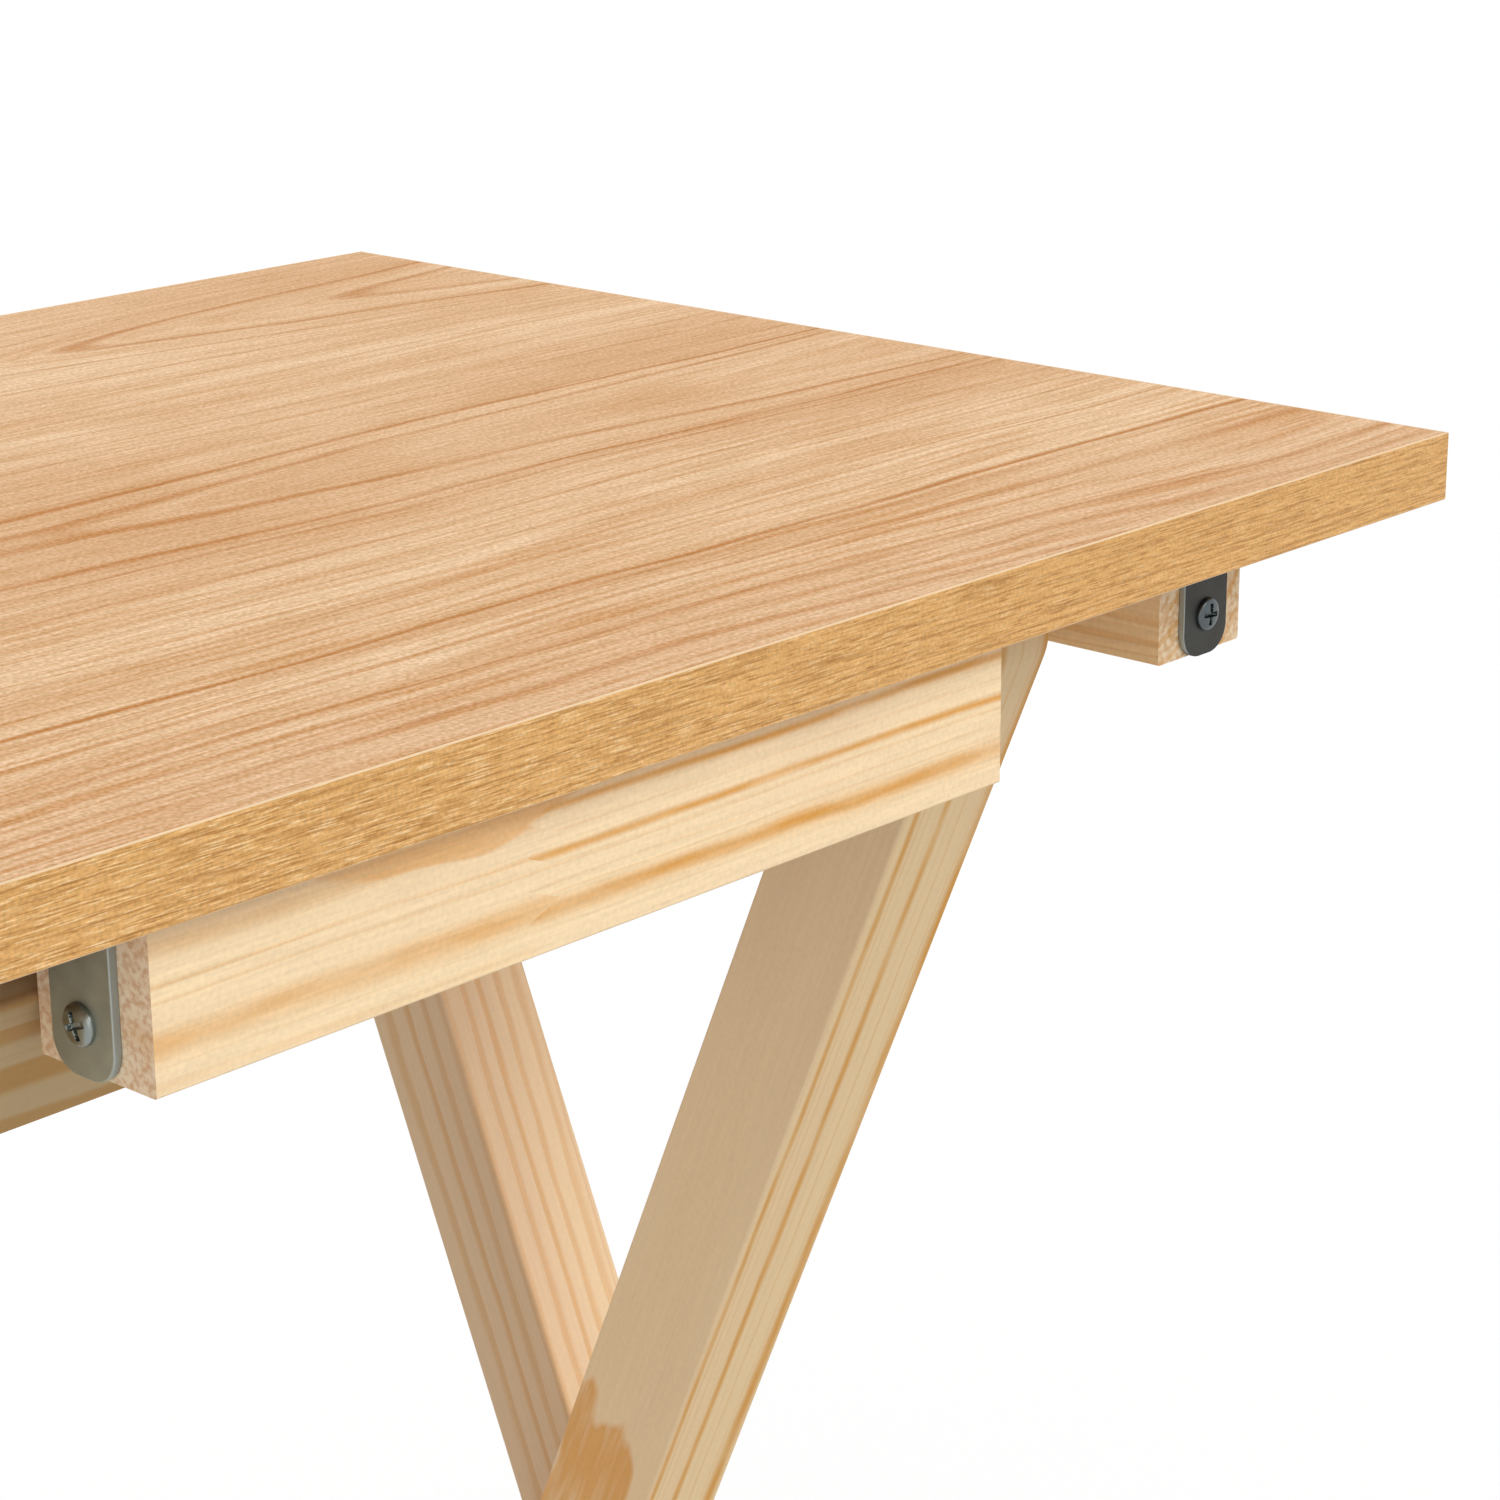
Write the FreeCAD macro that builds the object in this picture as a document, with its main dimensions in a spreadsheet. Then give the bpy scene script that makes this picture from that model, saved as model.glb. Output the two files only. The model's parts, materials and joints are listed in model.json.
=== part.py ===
"""Small folding table: a laminated board on two crossed pine leg frames.

The frame has X along the board's long edge, Y from the near edge to the far edge and Z up,
with the origin on the floor under the middle of the board.  The outer legs hang on two rails
under the board, the inner legs cross them on pivot bolts, and a batten under the near edge
stops the inner frame's crossbar when the table stands open.
"""
import FreeCAD, Part
import math
import os

import Sketcher
from FreeCAD import Placement, Rotation, Vector

doc = FreeCAD.newDocument("folding_table")

# Driving sizes, in millimetres
SIZES = {
    "height": 750,              # floor to the top face
    "top_length": 600,
    "top_depth": 420,
    "board_thick": 18,
    "band_thick": 1,            # glued edge band
    "band_ease": 0.5,           # rounding of the band's long arrises
    "stock": 35,                # square pine section of legs, rails and crossbars
    "leg_arris": 1.2,           # rounding along the legs and crossbars
    "sawn_arris": 0.6,          # light sanding of rails, batten and slat
    "side_overhang": 41.5,      # board end to the rail's outer face
    "rail_setback": 35,         # board edge to the rail's end
    "batten_length": 246,
    "batten_depth": 34,
    "stop_gap": 0.3,            # batten to crossbar, table open
    "bearing_gap": 0.3,         # leg tops to the underside of the board
    "pivot_end": 32,            # rail's end to the pivot of the outer legs
    "leg_shift": -5,            # middle of the leg frames, from the middle of the board
    "crossbar_drop": 16,        # top crossbar's middle below the leg top's middle, along the leg
    "crossbar_height": 120,     # low crossbar's middle above the floor
    "slat_height": 120,         # slat's middle above the floor
    "slat_thick": 18,
    "slat_width": 45,
    "bracket_drop": 35.2,       # bracket leg on the wood
    "bracket_reach": 30,        # bracket leg under the board
    "bracket_width": 18.5,
    "bracket_thick": 2,
    "bracket_bend": 3,          # outside radius of the bend
    "bracket_flat": 4.5,        # straight part of a free end, between its round corners
    "bracket_hole_edge": 10.9,  # hole to the free end
    "bracket_hole": 4.6,
    "bracket_shift": 1.5,       # batten's brackets behind the middle of its ends
    "screw_diameter": 4,
    "screw_head": 8.6,
    "screw_head_height": 1.9,
    "screw_recess": 1.0,        # depth of the cross recess
    "recess_width": 1.2,
    "recess_span": 5.6,
    "end_screw_length": 25,     # under the head
    "board_screw_length": 15,   # under the head
    "frame_screw_diameter": 5,
    "frame_screw_head": 10,
    "frame_screw_length": 75,
    "frame_screw_pitch": 16,    # between the two screws of a joint
    "slat_screw_length": 42,
    "slat_screw_pitch": 22,
    "wood_clearance": 0.05,     # screw to its hole, on the radius
    "pivot_diameter": 8,
    "pivot_clearance": 0.08,    # pivot to its bore, on the radius
    "run_gap": 0.1,             # between flat faces that turn on each other
    "spacer_thick": 1.9,        # washer between two members
    "washer_diameter": 20,
    "washer_thick": 1.5,
    "hex_width": 13,            # across flats
    "hex_height": 5.3,
    "nut_height": 6.5,
    "hex_chamfer": 0.8,
    "bolt_tail": 2.5,           # bolt past its nut
    "lag_depth": 30,            # pivot screw in the outer leg
}

# Places that follow from the driving sizes
PLACES = {
    "underside": "=height - board_thick",
    "bearing": "=underside - stock / 2 - bearing_gap",
    "crossing": "=bearing / 2",
    "rail_length": "=top_depth - 2 * rail_setback",
    "leg_spread": "=rail_length - 2 * pivot_end - 2 * leg_shift",
    "lean": "=atan(leg_spread / bearing)",
    "half_leg": "=crossing / cos(lean)",
    "foot_rise": "=stock / 2 * tan(lean)",
    "bracket_corner": "=(bracket_width - bracket_flat) / 2",
    "rail_out": "=top_length / 2 - side_overhang",
    "rail_in": "=rail_out - stock",
    "outer_out": "=rail_in - spacer_thick - run_gap",
    "outer_in": "=outer_out - stock",
    "inner_out": "=outer_in - spacer_thick - run_gap",
    "inner_in": "=inner_out - stock",
}

sheet = doc.addObject("Spreadsheet::Sheet", "sizes")
for row, (alias, content) in enumerate({**SIZES, **PLACES}.items(), start=1):
    sheet.set(f"A{row}", alias)
    sheet.set(f"B{row}", str(content))
    sheet.setAlias(f"B{row}", alias)
doc.recompute()


def size(alias):
    """Value of a cell, in millimetres or degrees."""
    content = sheet.get(alias)
    return float(getattr(content, "Value", content))


X_AXIS, Y_AXIS, Z_AXIS = Vector(1, 0, 0), Vector(0, 1, 0), Vector(0, 0, 1)
INNER, OUTER = 1, -1    # way that a frame leans: the inner legs' tops are at the near edge
SIDES = {"left": -1, "right": 1}
subparts = []


def bind(thing, **cells):
    """Tie properties of a document object to expressions on the sheet."""
    for prop, expression in cells.items():
        thing.setExpression(prop, expression)
    return thing


def keep(thing, label):
    """Name a finished sub-part."""
    thing.Label = label
    subparts.append(thing)
    return thing


def tag(label, kind):
    """Internal name of a helper object of one sub-part."""
    return f"{label}_{kind}"


def new_sketch(body, plane, name):
    """Sketch on one of the body's origin planes."""
    sketch = body.newObject("Sketcher::SketchObject", name)
    support = [item for item in body.Origin.OriginFeatures if item.Role == plane][0]
    sketch.AttachmentSupport = [(support, "")]
    sketch.MapMode = "FlatFace"
    return sketch


def pin_point(sketch, geometry, position, across=None, up=None):
    """Hold a sketch point at expressions measured from the sketch origin."""
    for kind, expression in (("DistanceX", across), ("DistanceY", up)):
        if expression is not None:
            distance = sketch.evalExpression(expression)
            pin = Sketcher.Constraint(kind, -1, 1, geometry, position, distance)
            index = sketch.addConstraint(pin)
            sketch.setExpression(f"Constraints[{index}]", expression)


def add_polygon(sketch, corners):
    """Closed outline of straight lines through corners, each a pair of expressions."""
    start = [Vector(sketch.evalExpression(across), sketch.evalExpression(up), 0)
             for across, up in corners]
    count = len(corners)
    for index in range(count):
        sketch.addGeometry(Part.LineSegment(start[index], start[(index + 1) % count]), False)
    for index in range(count):
        sketch.addConstraint(Sketcher.Constraint("Coincident", index, 2, (index + 1) % count, 1))
    for index, (across, up) in enumerate(corners):
        pin_point(sketch, index, 1, across, up)


def add_pad(body, sketch, name, length, symmetric=False):
    """Pad a sketch by an expression."""
    pad = body.newObject("PartDesign::Pad", name)
    pad.Profile = sketch
    if symmetric:
        pad.SideType = "Symmetric"
    bind(pad, Length=length)
    doc.recompute()
    return pad


def add_fillet(body, base, name, radius, wanted):
    """Round the edges of a feature that pass a test."""
    edges = [f"Edge{index}" for index, edge in enumerate(base.Shape.Edges, start=1) if wanted(edge)]
    fillet = body.newObject("PartDesign::Fillet", name)
    fillet.Base = (base, edges)
    bind(fillet, Radius=radius)
    doc.recompute()
    return fillet


def bar(label, length, width, height, arris):
    """Straight bar along X, centred on its own origin, with rounded long edges."""
    body = doc.addObject("PartDesign::Body", tag(label, "bar"))
    sketch = new_sketch(body, "YZ_Plane", tag(label, "section"))
    corners = [("-", "-"), ("", "-"), ("", ""), ("-", "")]
    add_polygon(sketch, [(f"{a}({width}) / 2", f"{b}({height}) / 2") for a, b in corners])
    pad = add_pad(body, sketch, tag(label, "pad"), length, symmetric=True)
    add_fillet(body, pad, tag(label, "arris"), arris, lambda edge: edge.BoundBox.XLength > 1)
    return body


def drill(label, radius, depth, start, direction):
    """Round tool of a hole, from its mouth along a direction."""
    tool = doc.addObject("Part::Cylinder", tag(label, "drill"))
    bind(tool, Radius=radius, Height=depth)
    tool.Placement = Placement(start, Rotation(Z_AXIS, direction))
    return tool


def cut(label, body, tools):
    """Sub-part made by taking the tools out of a body."""
    holes = doc.addObject("Part::Compound", tag(label, "holes"))
    holes.Links = tools
    piece = doc.addObject("Part::Cut", tag(label, "piece"))
    piece.Base = body
    piece.Tool = holes
    return keep(piece, label)


def on_leg(frame, along, across=0.0):
    """Y and Z of a point on a leg: along from the crossing to the top, across to the back."""
    angle = math.radians(size("lean")) * frame
    y = size("leg_shift") + across * math.cos(angle) - along * math.sin(angle)
    z = size("crossing") + across * math.sin(angle) + along * math.cos(angle)
    return y, z


def leg_turn(frame):
    """Rotation that leans an upright piece with its frame."""
    return Rotation(X_AXIS, size("lean") * frame)


def leg_at_height(height):
    """Distance along a leg from the crossing to a height above the floor."""
    return (height - size("crossing")) / math.cos(math.radians(size("lean")))


# Heights and spacings along the legs
CROSSBARS = {
    "inner_top_crossbar": size("half_leg") - size("crossbar_drop"),
    "inner_low_crossbar": leg_at_height(size("crossbar_height")),
}
SLAT_ALONG = leg_at_height(size("slat_height"))
HALF_PAIR = (-0.5, 0.5)
WOOD_HOLE = "sizes.screw_diameter / 2 + sizes.wood_clearance"
FRAME_HOLE = "sizes.frame_screw_diameter / 2 + sizes.wood_clearance"
PIVOT_BORE = "sizes.pivot_diameter / 2 + sizes.pivot_clearance"


# The batten's back face, just clear of the crossbar's rounded front arris
def crossbar_front():
    """Foremost Y of the top crossbar."""
    angle = math.radians(size("lean"))
    flat = size("stock") / 2 - size("leg_arris")
    reach = flat * (math.cos(angle) + math.sin(angle)) + size("leg_arris")
    return on_leg(INNER, CROSSBARS["inner_top_crossbar"])[0] - reach


BATTEN_Y = crossbar_front() - size("stop_gap") - size("batten_depth") / 2
MEMBER_Z = size("underside") - size("stock") / 2
RAIL_X = (size("rail_in") + size("rail_out")) / 2


# Brackets: where each heel sits, and the way its reach points
def bracket_seats():
    """Heel point and outward direction of every bracket."""
    seats = {}
    for side, sign in SIDES.items():
        heel = Vector(sign * size("batten_length") / 2, BATTEN_Y + size("bracket_shift"),
                      size("underside"))
        seats[f"bracket_batten_{side}"] = (heel, X_AXIS * sign)
        for end, way in (("near", -1), ("far", 1)):
            heel = Vector(sign * RAIL_X, way * size("rail_length") / 2, size("underside"))
            seats[f"bracket_rail_{side}_{end}"] = (heel, Y_AXIS * way)
    return seats


SEATS = bracket_seats()
END_HOLE_Z = size("bracket_drop") - size("bracket_hole_edge")
BOARD_HOLE_OUT = size("bracket_reach") - size("bracket_hole_edge")


def end_screw_mouth(heel):
    """Point on the wood's end face where a bracket's screw goes in."""
    return heel - Z_AXIS * END_HOLE_Z


def board_screw_mouth(heel, outward):
    """Point under the board where a bracket's screw goes in."""
    return heel + outward * BOARD_HOLE_OUT


def end_drills(label, names):
    """Screw holes in the end grain of a batten or rail."""
    depth = "sizes.end_screw_length - sizes.bracket_thick"
    return [drill(label, WOOD_HOLE, depth, end_screw_mouth(SEATS[name][0]), -SEATS[name][1])
            for name in names]


# Board and its edge bands
def make_board():
    """Particle-board core with the blind holes of the bracket screws."""
    core = doc.addObject("Part::Box", "board_core")
    bind(core, Length="sizes.top_length - 2 * sizes.band_thick",
         Width="sizes.top_depth - 2 * sizes.band_thick", Height="sizes.board_thick")
    corner = Vector(-size("top_length") / 2, -size("top_depth") / 2, size("underside"))
    core.Placement.Base = corner + (X_AXIS + Y_AXIS) * size("band_thick")
    depth = "sizes.board_screw_length - sizes.bracket_thick"
    tools = [drill("top_board", WOOD_HOLE, depth, board_screw_mouth(heel, outward), Z_AXIS)
             for heel, outward in SEATS.values()]
    cut("top_board", core, tools)


def make_bands():
    """Long bands cover the ends of the short ones."""
    middle = size("underside") + size("board_thick") / 2
    for end, way in (("near", -1), ("far", 1)):
        label = f"edge_band_{end}"
        band = bar(label, "sizes.top_length", "sizes.band_thick", "sizes.board_thick",
                   "min(sizes.band_ease; sizes.band_thick * 0.45)")
        offset = (size("top_depth") - size("band_thick")) / 2
        band.Placement.Base = Vector(0, way * offset, middle)
        keep(band, label)
    for side, sign in SIDES.items():
        label = f"edge_band_{side}"
        band = bar(label, "sizes.top_depth - 2 * sizes.band_thick", "sizes.band_thick",
                   "sizes.board_thick", "min(sizes.band_ease; sizes.band_thick * 0.45)")
        offset = (size("top_length") - size("band_thick")) / 2
        band.Placement = Placement(Vector(sign * offset, 0, middle), Rotation(Z_AXIS, 90))
        keep(band, label)


# Members under the board
def make_batten():
    """Stop batten along the near edge."""
    body = bar("stop_batten", "sizes.batten_length", "sizes.batten_depth", "sizes.stock",
               "sizes.sawn_arris")
    body.Placement.Base = Vector(0, BATTEN_Y, MEMBER_Z)
    cut("stop_batten", body, end_drills("stop_batten", [f"bracket_batten_{s}" for s in SIDES]))


def make_rails():
    """Two rails from front to back, bored for the outer legs' pivot screws."""
    pivot_y, pivot_z = on_leg(OUTER, size("half_leg"))
    for side, sign in SIDES.items():
        label = f"rail_{side}"
        body = bar(label, "sizes.rail_length", "sizes.stock", "sizes.stock", "sizes.sawn_arris")
        body.Placement = Placement(Vector(sign * RAIL_X, 0, MEMBER_Z), Rotation(Z_AXIS, 90))
        names = [f"bracket_rail_{side}_{end}" for end in ("near", "far")]
        mouth = Vector(sign * size("rail_out"), pivot_y, pivot_z)
        bore = drill(label, PIVOT_BORE, "sizes.stock", mouth, -X_AXIS * sign)
        cut(label, body, end_drills(label, names) + [bore])


# Brackets
def make_brackets():
    """Pressed steel angles with a rounded bend, rounded corners and one hole in each leg."""
    for label, (heel, outward) in SEATS.items():
        body = doc.addObject("PartDesign::Body", tag(label, "angle"))
        sketch = new_sketch(body, "XZ_Plane", tag(label, "profile"))
        thick = "sizes.bracket_thick"
        add_polygon(sketch, [
            ("0", "0"), ("sizes.bracket_reach", "0"), ("sizes.bracket_reach", f"-{thick}"),
            (thick, f"-{thick}"), (thick, "-sizes.bracket_drop"), ("0", "-sizes.bracket_drop")])
        pad = add_pad(body, sketch, tag(label, "pad"), "sizes.bracket_width", symmetric=True)

        def inner_bend(edge):
            box = edge.BoundBox
            inset = size("bracket_thick")
            return box.YLength > 1 and abs(box.XMin - inset) + abs(box.ZMax + inset) < 1e-6

        def free_corner(edge):
            box = edge.BoundBox
            at_reach = box.ZLength > 1e-6 and abs(box.XMin - size("bracket_reach")) < 1e-6
            at_drop = box.XLength > 1e-6 and abs(box.ZMax + size("bracket_drop")) < 1e-6
            return box.YLength < 1e-6 and (at_reach or at_drop)

        bend = add_fillet(body, pad, tag(label, "bend"), "sizes.bracket_bend - sizes.bracket_thick",
                          inner_bend)
        add_fillet(body, bend, tag(label, "corners"), "sizes.bracket_corner", free_corner)
        body.Placement = Placement(heel, Rotation(X_AXIS, outward))
        hole = "sizes.bracket_hole / 2"
        tools = [drill(label, hole, thick, end_screw_mouth(heel), outward),
                 drill(label, hole, thick, board_screw_mouth(heel, outward), -Z_AXIS)]
        cut(label, body, tools)


# Legs
def make_leg_blank(label, frame):
    """Upright leg with its crossing at the origin, a round top and a foot sawn to the floor."""
    body = doc.addObject("PartDesign::Body", tag(label, "blank"))
    sketch = new_sketch(body, "YZ_Plane", tag(label, "outline"))
    half, top = size("stock") / 2, size("half_leg")
    drop = {-1: top - frame * size("foot_rise"), 1: top + frame * size("foot_rise")}
    slope = {-1: "-" if frame > 0 else "+", 1: "+" if frame > 0 else "-"}
    feet = {way: Vector(way * half, -drop[way], 0) for way in (-1, 1)}
    sketch.addGeometry(Part.LineSegment(feet[-1], feet[1]), False)
    sketch.addGeometry(Part.LineSegment(feet[1], Vector(half, top, 0)), False)
    sketch.addGeometry(Part.LineSegment(Vector(-half, top, 0), feet[-1]), False)
    round_top = Part.Circle(Vector(0, top, 0), Z_AXIS, half)
    sketch.addGeometry(Part.ArcOfCircle(round_top, 0, math.pi), False)
    for first, second in (((0, 2), (1, 1)), ((1, 2), (3, 1)), ((3, 2), (2, 1)), ((2, 2), (0, 1))):
        sketch.addConstraint(Sketcher.Constraint("Coincident", *first, *second))
    for position, way in ((1, -1), (2, 1)):
        across = "sizes.stock / 2" if way > 0 else "-sizes.stock / 2"
        height = f"-(sizes.half_leg {slope[way]} sizes.foot_rise)"
        pin_point(sketch, 0, position, across, height)
    pin_point(sketch, 1, 2, "sizes.stock / 2", "sizes.half_leg")
    pin_point(sketch, 2, 1, "-sizes.stock / 2", "sizes.half_leg")
    pin_point(sketch, 3, 3, up="sizes.half_leg")
    pad = add_pad(body, sketch, tag(label, "pad"), "sizes.stock", symmetric=True)

    def along_the_leg(edge):
        return edge.BoundBox.XLength < 1e-6 and edge.BoundBox.ZMax > 0

    add_fillet(body, pad, tag(label, "arris"), "sizes.leg_arris", along_the_leg)
    return body


def frame_screw_places():
    """Distance along the inner leg of every screw through it into a crossbar."""
    return [middle + step * size("frame_screw_pitch")
            for middle in CROSSBARS.values() for step in HALF_PAIR]


def slat_screw_places():
    """Distance along the outer leg of the two screws through the slat."""
    return [SLAT_ALONG + step * size("slat_screw_pitch") for step in HALF_PAIR]


def countersink(label, start, direction):
    """Conical tool for the flat head of a frame screw."""
    tool = doc.addObject("Part::Cone", tag(label, "countersink"))
    bind(tool, Radius1="sizes.frame_screw_head / 2 + sizes.wood_clearance",
         Radius2=FRAME_HOLE,
         Height="(sizes.frame_screw_head - sizes.frame_screw_diameter) / 2")
    tool.Placement = Placement(start, Rotation(Z_AXIS, direction))
    return tool


def make_inner_legs():
    """Legs whose tops are at the near edge, screwed to the crossbars between them."""
    middle = (size("inner_in") + size("inner_out")) / 2
    for side, sign in SIDES.items():
        label = f"inner_leg_{side}"
        body = make_leg_blank(label, INNER)
        pivot_y, pivot_z = on_leg(INNER, 0)
        body.Placement = Placement(Vector(sign * middle, pivot_y, pivot_z), leg_turn(INNER))
        mouth = Vector(sign * size("inner_out"), pivot_y, pivot_z)
        tools = [drill(label, PIVOT_BORE, "sizes.stock", mouth, -X_AXIS * sign)]
        for along in frame_screw_places():
            mouth = Vector(sign * size("inner_out"), *on_leg(INNER, along))
            tools.append(drill(label, FRAME_HOLE, "sizes.stock", mouth, -X_AXIS * sign))
            tools.append(countersink(label, mouth, -X_AXIS * sign))
        cut(label, body, tools)


def make_outer_legs():
    """Legs that hang on the rails at the far edge."""
    middle = (size("outer_in") + size("outer_out")) / 2
    inward = leg_turn(OUTER).multVec(Y_AXIS)
    for side, sign in SIDES.items():
        label = f"outer_leg_{side}"
        body = make_leg_blank(label, OUTER)
        pivot_y, pivot_z = on_leg(OUTER, 0)
        body.Placement = Placement(Vector(sign * middle, pivot_y, pivot_z), leg_turn(OUTER))
        mouth = Vector(sign * size("outer_out"), pivot_y, pivot_z)
        tools = [drill(label, PIVOT_BORE, "sizes.stock", mouth, -X_AXIS * sign)]
        mouth = Vector(sign * size("outer_out"), *on_leg(OUTER, size("half_leg")))
        tools.append(drill(label, PIVOT_BORE, "sizes.lag_depth", mouth, -X_AXIS * sign))
        for along in slat_screw_places():
            mouth = Vector(sign * middle, *on_leg(OUTER, along, -size("stock") / 2))
            depth = "sizes.slat_screw_length - sizes.slat_thick"
            tools.append(drill(label, FRAME_HOLE, depth, mouth, inward))
        cut(label, body, tools)


def make_crossbars():
    """Two bars between the inner legs, leaning with them."""
    for label, along in CROSSBARS.items():
        body = bar(label, "2 * sizes.inner_in", "sizes.stock", "sizes.stock", "sizes.leg_arris")
        body.Placement = Placement(Vector(0, *on_leg(INNER, along)), leg_turn(INNER))
        tools = []
        for sign in SIDES.values():
            for step in HALF_PAIR:
                place = on_leg(INNER, along + step * size("frame_screw_pitch"))
                mouth = Vector(sign * size("inner_in"), *place)
                depth = "sizes.frame_screw_length - sizes.stock"
                tools.append(drill(label, FRAME_HOLE, depth, mouth, -X_AXIS * sign))
        cut(label, body, tools)


def make_slat():
    """Low slat across the front of the outer legs, clear of the inner legs as they close."""
    label = "outer_low_slat"
    body = bar(label, "2 * sizes.outer_out", "sizes.slat_thick", "sizes.slat_width",
               "sizes.sawn_arris")
    across = -(size("stock") + size("slat_thick")) / 2
    body.Placement = Placement(Vector(0, *on_leg(OUTER, SLAT_ALONG, across)), leg_turn(OUTER))
    inward = leg_turn(OUTER).multVec(Y_AXIS)
    tools = []
    for x, along in slat_screw_columns():
        front = on_leg(OUTER, along, -size("stock") / 2 - size("slat_thick"))
        mouth = Vector(x, *front)
        tools.append(drill(label, FRAME_HOLE, "sizes.slat_thick", mouth, inward))
        tools.append(countersink(label, mouth, inward))
    cut(label, body, tools)


def slat_screw_columns():
    """X and distance along the leg of every slat screw."""
    middle = (size("outer_in") + size("outer_out")) / 2
    return [(sign * middle, along) for sign in SIDES.values() for along in slat_screw_places()]


# Fasteners: one pattern piece each, repeated where it is used
def revolve(points):
    """Solid of revolution about Z from an outline of radius and height pairs."""
    outline = [Vector(radius, 0, height) for radius, height in points]
    face = Part.Face(Part.makePolygon(outline + outline[:1]))
    return face.revolve(Vector(), Z_AXIS, 360)


def hexagon(height, chamfer_top):
    """Hexagonal prism standing on the XY plane, its top corners turned off."""
    flat = size("hex_width") / 2
    corner = flat / math.cos(math.pi / 6)
    points = [Vector(corner * math.cos(math.pi / 3 * k), corner * math.sin(math.pi / 3 * k), 0)
              for k in range(7)]
    prism = Part.Face(Part.makePolygon(points)).extrude(Z_AXIS * height)
    trim = revolve([(0, 0), (corner, 0), (corner, height - chamfer_top),
                    (corner - 2 * chamfer_top, height), (0, height)])
    return prism.common(trim)


def pan_head_screw(length):
    """Screw along -Z with its domed head and cross recess above the XY plane."""
    shank, head, tall = size("screw_diameter") / 2, size("screw_head") / 2, size("screw_head_height")
    rim = tall * 0.35
    dome = [(head * math.cos(math.radians(a)), rim + (tall - rim) * math.sin(math.radians(a)))
            for a in (30, 60)]
    body = revolve([(0, -length), (shank * 0.3, -length), (shank, -length + 3 * shank), (shank, 0),
                    (head, 0), (head, rim), *dome, (0, tall)])
    span, width, deep = size("recess_span"), size("recess_width"), size("screw_recess")
    for long, wide in ((span, width), (width, span)):
        slot = Part.makeBox(long, wide, deep, Vector(-long / 2, -wide / 2, tall - deep))
        body = body.cut(slot)
    return body


def flat_head_screw(length):
    """Countersunk screw along -Z, its head flush with the XY plane."""
    shank, head = size("frame_screw_diameter") / 2, size("frame_screw_head") / 2
    point = [(0, -length), (shank * 0.3, -length), (shank, -length + 3 * shank)]
    return revolve(point + [(shank, shank - head), (head, 0), (0, 0)])


def washer(thick):
    """Flat ring standing on the XY plane."""
    inside = size("pivot_diameter") / 2 + size("pivot_clearance")
    outside = size("washer_diameter") / 2
    return revolve([(inside, 0), (outside, 0), (outside, thick), (inside, thick)])


def hex_bolt(length):
    """Bolt along -Z under a hexagon head that stands on the XY plane."""
    shank = size("pivot_diameter") / 2
    ease = shank / 5
    stem = revolve([(0, -length), (shank - ease, -length), (shank, -length + ease), (shank, 0), (0, 0)])
    return hexagon(size("hex_height"), size("hex_chamfer")).fuse(stem).removeSplitter()


def hex_nut():
    """Nut standing on the XY plane."""
    bore = Part.makeCylinder(size("pivot_diameter") / 2 + size("wood_clearance"), size("nut_height"))
    return hexagon(size("nut_height"), size("hex_chamfer")).cut(bore)


def group(label, pattern, seats):
    """Copies of one fastener: each seat is its place and the way its head points."""
    copies = []
    for place, up in seats:
        copy = pattern.copy()
        copy.Placement = Placement(place, Rotation(Z_AXIS, up))
        copies.append(copy)
    feature = doc.addObject("Part::Feature", tag(label, "group"))
    feature.Shape = Part.makeCompound(copies)
    keep(feature, label)


def both_sides(x, place):
    """The same point on the right and on the left, with the outward way of each."""
    return [(Vector(sign * x, *place), X_AXIS * sign) for sign in SIDES.values()]


def facing_in(seats):
    """The same seats with their heads turned to the middle of the table."""
    return [(place, -up) for place, up in seats]


def make_bracket_screws():
    """Screws into the end grain and up into the board."""
    thick = size("bracket_thick")
    ends = [(end_screw_mouth(heel) + outward * thick, outward) for heel, outward in SEATS.values()]
    group("bracket_end_screws", pan_head_screw(size("end_screw_length")), ends)
    boards = [(board_screw_mouth(heel, outward) - Z_AXIS * thick, -Z_AXIS)
              for heel, outward in SEATS.values()]
    group("bracket_board_screws", pan_head_screw(size("board_screw_length")), boards)


def make_frame_screws():
    """Flat-head screws of the crossbars and of the slat."""
    seats = []
    for along in frame_screw_places():
        seats += both_sides(size("inner_out"), on_leg(INNER, along))
    group("crossbar_screws", flat_head_screw(size("frame_screw_length")), seats)
    outward = leg_turn(OUTER).multVec(-Y_AXIS)
    seats = [(Vector(x, *on_leg(OUTER, along, -size("stock") / 2 - size("slat_thick"))), outward)
             for x, along in slat_screw_columns()]
    group("slat_screws", flat_head_screw(size("slat_screw_length")), seats)


def make_leg_pivots():
    """Bolts where the legs cross, with their heads inside and their nuts outside."""
    centre = on_leg(INNER, 0)
    thick, gap = size("washer_thick"), size("run_gap")
    head_x = size("inner_in") - gap - thick
    nut_x = size("outer_out") + thick
    length = nut_x + size("nut_height") + size("bolt_tail") - head_x
    inward = facing_in(both_sides(head_x, centre))
    group("leg_pivot_bolts", hex_bolt(length), inward)
    group("leg_pivot_head_washers", washer(thick), facing_in(both_sides(head_x + thick, centre)))
    group("leg_pivot_spacers", washer(size("spacer_thick")),
          facing_in(both_sides(size("outer_in"), centre)))
    group("leg_pivot_nut_washers", washer(thick), both_sides(size("outer_out"), centre))
    group("leg_pivot_nuts", hex_nut(), both_sides(nut_x, centre))


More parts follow.
